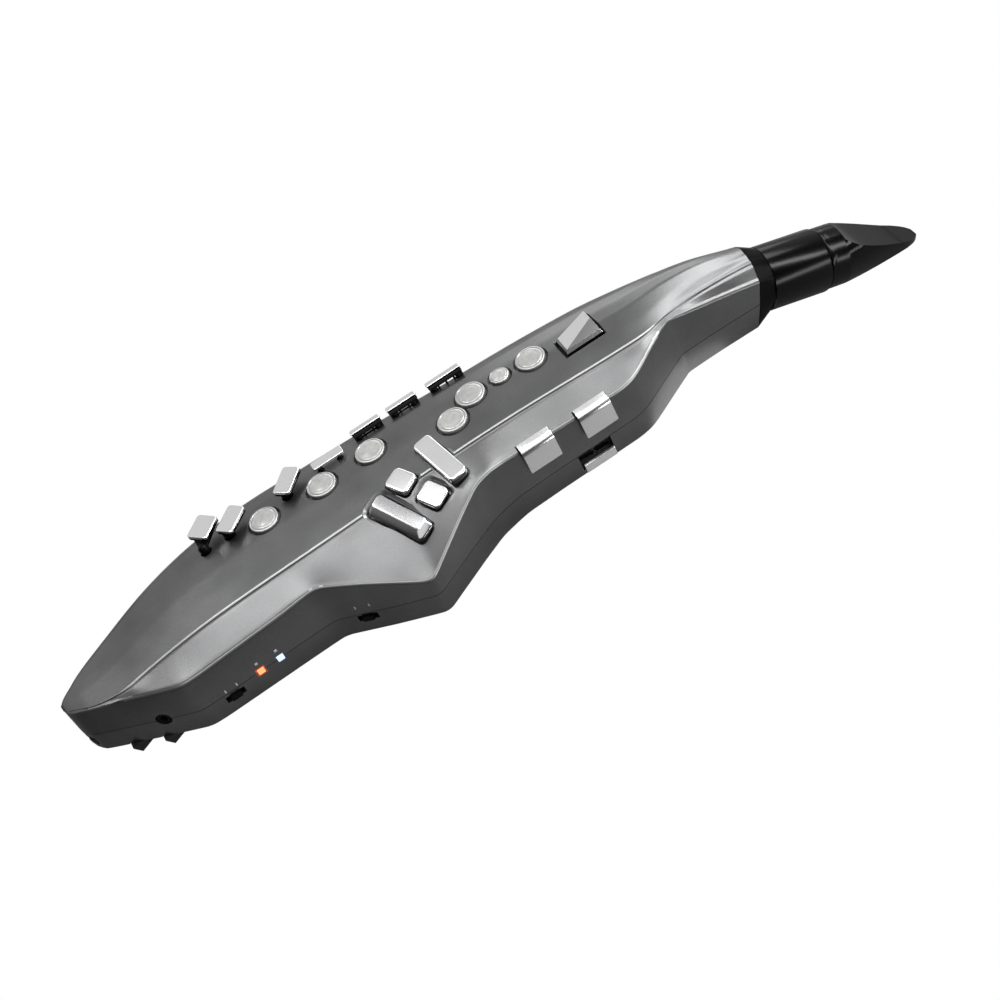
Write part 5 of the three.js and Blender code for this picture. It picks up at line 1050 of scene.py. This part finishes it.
# Neck: the black collar carries the body's end over to the round sleeve. Its spigot fills the
# shells' end, its tenon fills the sleeve, and a bore runs through both.
COLLAR_LONG = 8.5
SLEEVE_RADIUS = 15.9
SLEEVE_BORE = 12.7
end_rings = body_rings(lambda station: [
    (station[NEAR] + 1.1, 0), (station[NEAR] + 0.5, 1), (station[NEAR], SPLIT), *top_line(station),
    (station[FAR], SPLIT), (station[FAR] - 0.5, 1), (station[FAR] - 1.1, 0)])
seat = []
for k in range(len(end_rings[0])):
    track = [to_neck @ Vector(ring[k]) for ring in end_rings]
    row = next((n for n, point in enumerate(track) if point.x > GAP), len(track) - 1)
    before, after = track[row - 1], track[row]
    seat.append(before.lerp(after, (GAP - before.x) / (after.x - before.x)))
flare = []
for share in (0, 0.04, 0.3, 0.6, 0.85, 1):
    ring = []
    for point in seat:
        angle = math.atan2(point.z, point.y)
        rim = Vector((COLLAR_LONG, SLEEVE_RADIUS * math.cos(angle), SLEEVE_RADIUS * math.sin(angle)))
        ring.append(point.lerp(rim, share))
    flare.append(ring)
collar = piece_of("collar_moulding", [flare], [matt], neck_place)
spigot = disc([(-8, 11.2), (-7.7, 11.5), (2, 11.5)])
tenon = disc([(6, 12.3), (14.2, 12.3), (14.5, 12)])
carve_all(collar, [([spigot], along_neck), ([tenon], along_neck)], "UNION")
carve_all(collar, [([disc([(-10, 9.1), (16, 9.1)])], along_neck)])
dress(collar, "neck_collar", "case")

# Sleeve: a plain tube of hard black rubber, pushed onto the collar's tenon. Its rims are rounded,
# and the mouthpiece's shank goes into its other end.
ebonite = finish("ebonite_black", (0.001, 0.001, 0.001), (0.002, 0.002, 0.002),
                 roughness=0.2, spread=0.02, scale=900, bump=0.01, Specular_IOR_Level=0.15)
sleeve_rings = disc([(8.8, SLEEVE_BORE), (8.8, 15.5), (9.1, 15.85), (9.6, SLEEVE_RADIUS),
                     (39.4, SLEEVE_RADIUS), (40.1, 15.75), (40.6, 15.2), (40.6, SLEEVE_BORE)], 96)
sleeve = piece_of("sleeve_tube", [sleeve_rings + [sleeve_rings[0]]], [ebonite], along_neck, closed=False)
dress(sleeve, "mouthpiece_sleeve", "case")

# Mouthpiece: a gloss black barrel cut by the beak's facet above and the reed's table below, with
# a shank that goes into the sleeve and a bore for the breath
mouth_place = neck_place @ Matrix.Translation((40.9, 0, 0))
MOUTH = 56.5
ROUND = 15.2
BARREL_END = 10
TIP_START = 47.5
TIP_HALF = 7.5
TABLE_START = 2.5
TABLE_RISE = 7.2 / 54
FACET_START = 50.9
beak = [(BARREL_END, 15.19), (10.6, 12.9), (13.3, 11.3), (17, 9.27), (23.2, 6.84), (32.2, 3.65),
        (42.4, 0.3), (MOUTH, -3)]


def along_line(points, x):
    """How high a profile stands at a place along it."""
    row = next((k for k, point in enumerate(points) if point[0] >= x), len(points) - 1)
    (x0, z0), (x1, z1) = points[max(row, 1) - 1], points[max(row, 1)]
    return z0 + (x - x0) / (x1 - x0) * (z1 - z0)


def tip_share(x):
    """How much of the width is left where the tip rounds off in plan."""
    return 1 if x <= TIP_START else math.sqrt(1 - 0.95 * ((x - TIP_START) / 9) ** 2)


def arc(x, half, radius, turns):
    """Part of the barrel's ring. Its half width may differ from its radius."""
    return [(x, half * math.cos(turn), radius * math.sin(turn)) for turn in turns]


mouth_rings = []
for x in (0, 0.25, 0.6, 1.2, 2.45, 2.55, 4, 6, 8, 9.9, 10.1, 10.35, 10.6, 11.4, 12.4, 13.3, 15, 17, 19, 21,
          23.2, 26, 29, 32.2, 35, 38, 42.4, 45, 48, 50.8, 52.5, 54, 55, 55.8, 56.3, MOUTH):
    # the shoulder at the sleeve is rounded off
    radius = ROUND - max(0, 0.6 - x) ** 2 * 1.2
    half = radius if x < BARREL_END else ROUND + (TIP_HALF - ROUND) * min((x - BARREL_END) / 40.85, 1)
    half *= tip_share(x)
    top = radius * 0.9995 if x < BARREL_END else along_line(beak, x)
    # the beak's slopes run into each other softly
    if 20 < x < MOUTH:
        top = (along_line(beak, x - 2) + along_line(beak, x) + along_line(beak, min(x + 2, MOUTH))) / 3
    bottom = -radius * 0.9995 if x < TABLE_START else -11.4 + (x - TABLE_START) * TABLE_RISE
    turn_top, turn_low = math.asin(top / radius), math.asin(bottom / radius)
    width_top, width_low = half * math.cos(turn_top), half * math.cos(turn_low)
    turns = [turn_top + (turn_low - turn_top) * k / 18 for k in range(18)]
    back_turns = [turn_low + (turn_top - turn_low) * k / 18 for k in range(18)]
    ring = [(x, width_top * (k / 4 - 1), top) for k in range(8)]
    ring += arc(x, half, radius, turns)
    ring += [(x, width_low * (1 - k / 3), bottom) for k in range(6)]
    ring += arc(x, -half, radius, back_turns)
    mouth_rings.append(ring)
mouth = piece_of("mouthpiece_beak", [mouth_rings], [ebonite], mouth_place, 28)
to_mouth = mouth_place @ Matrix.Rotation(math.pi / 2, 4, "Y")
carve(mouth, piece_of("tool", [disc([(-16, 12), (-15.7, 12.3), (1, 12.3)], 64)], [], to_mouth), "UNION", 28)
carve(mouth, piece_of("tool", [disc([(-20, 6), (11.3, 6)])], [], to_mouth), "DIFFERENCE", 28)
mouth.data.materials.append(gloss)
for face in mouth.data.polygons:
    facing = (to_neck.to_3x3() @ face.normal).z
    if facing > 0.2 and (to_neck @ (face.center / MM)).x > FACET_START:
        face.material_index = len(mouth.data.materials) - 1
dress(mouth, "mouthpiece", "case")

# Reed: a long black blade that lies flat against the mouthpiece's table. It thins towards its tip,
# which is round like the beak's, and its lower edges are softened.
cane = finish("reed_black", (0.008, 0.008, 0.008), (0.016, 0.016, 0.016),
              roughness=0.25, spread=0.05, scale=1200, bump=0.1)
REED_THICK = 1.7
REED_HALF = 6.3
REED_START = 4.5
REED_THIN_FROM = 28.2
reed_rings = []
for x in (REED_START, 4.8, 10, 20, REED_THIN_FROM, 34, 40, 46, 48, 50, 52, 53.5, 54.7, 55.6, 56.2, MOUTH):
    under_side = -11.7 + (x - TABLE_START) * TABLE_RISE
    thick = REED_THICK - 0.34 * min((x - REED_START) / 23.7, 1) - 0.86 * max((x - REED_THIN_FROM) / 28.3, 0)
    half = REED_HALF * tip_share(x)
    soft_edge = min(0.35, thick / 3)
    tongue = under_side - thick
    reed_rings.append([(x, -half, under_side), (x, half, under_side), (x, half, tongue + soft_edge),
                       (x, half - soft_edge, tongue), (x, -half + soft_edge, tongue),
                       (x, -half, tongue + soft_edge)])
reed = piece_of("reed_blade", [reed_rings], [cane], mouth_place)
dress(reed, "reed", "case")
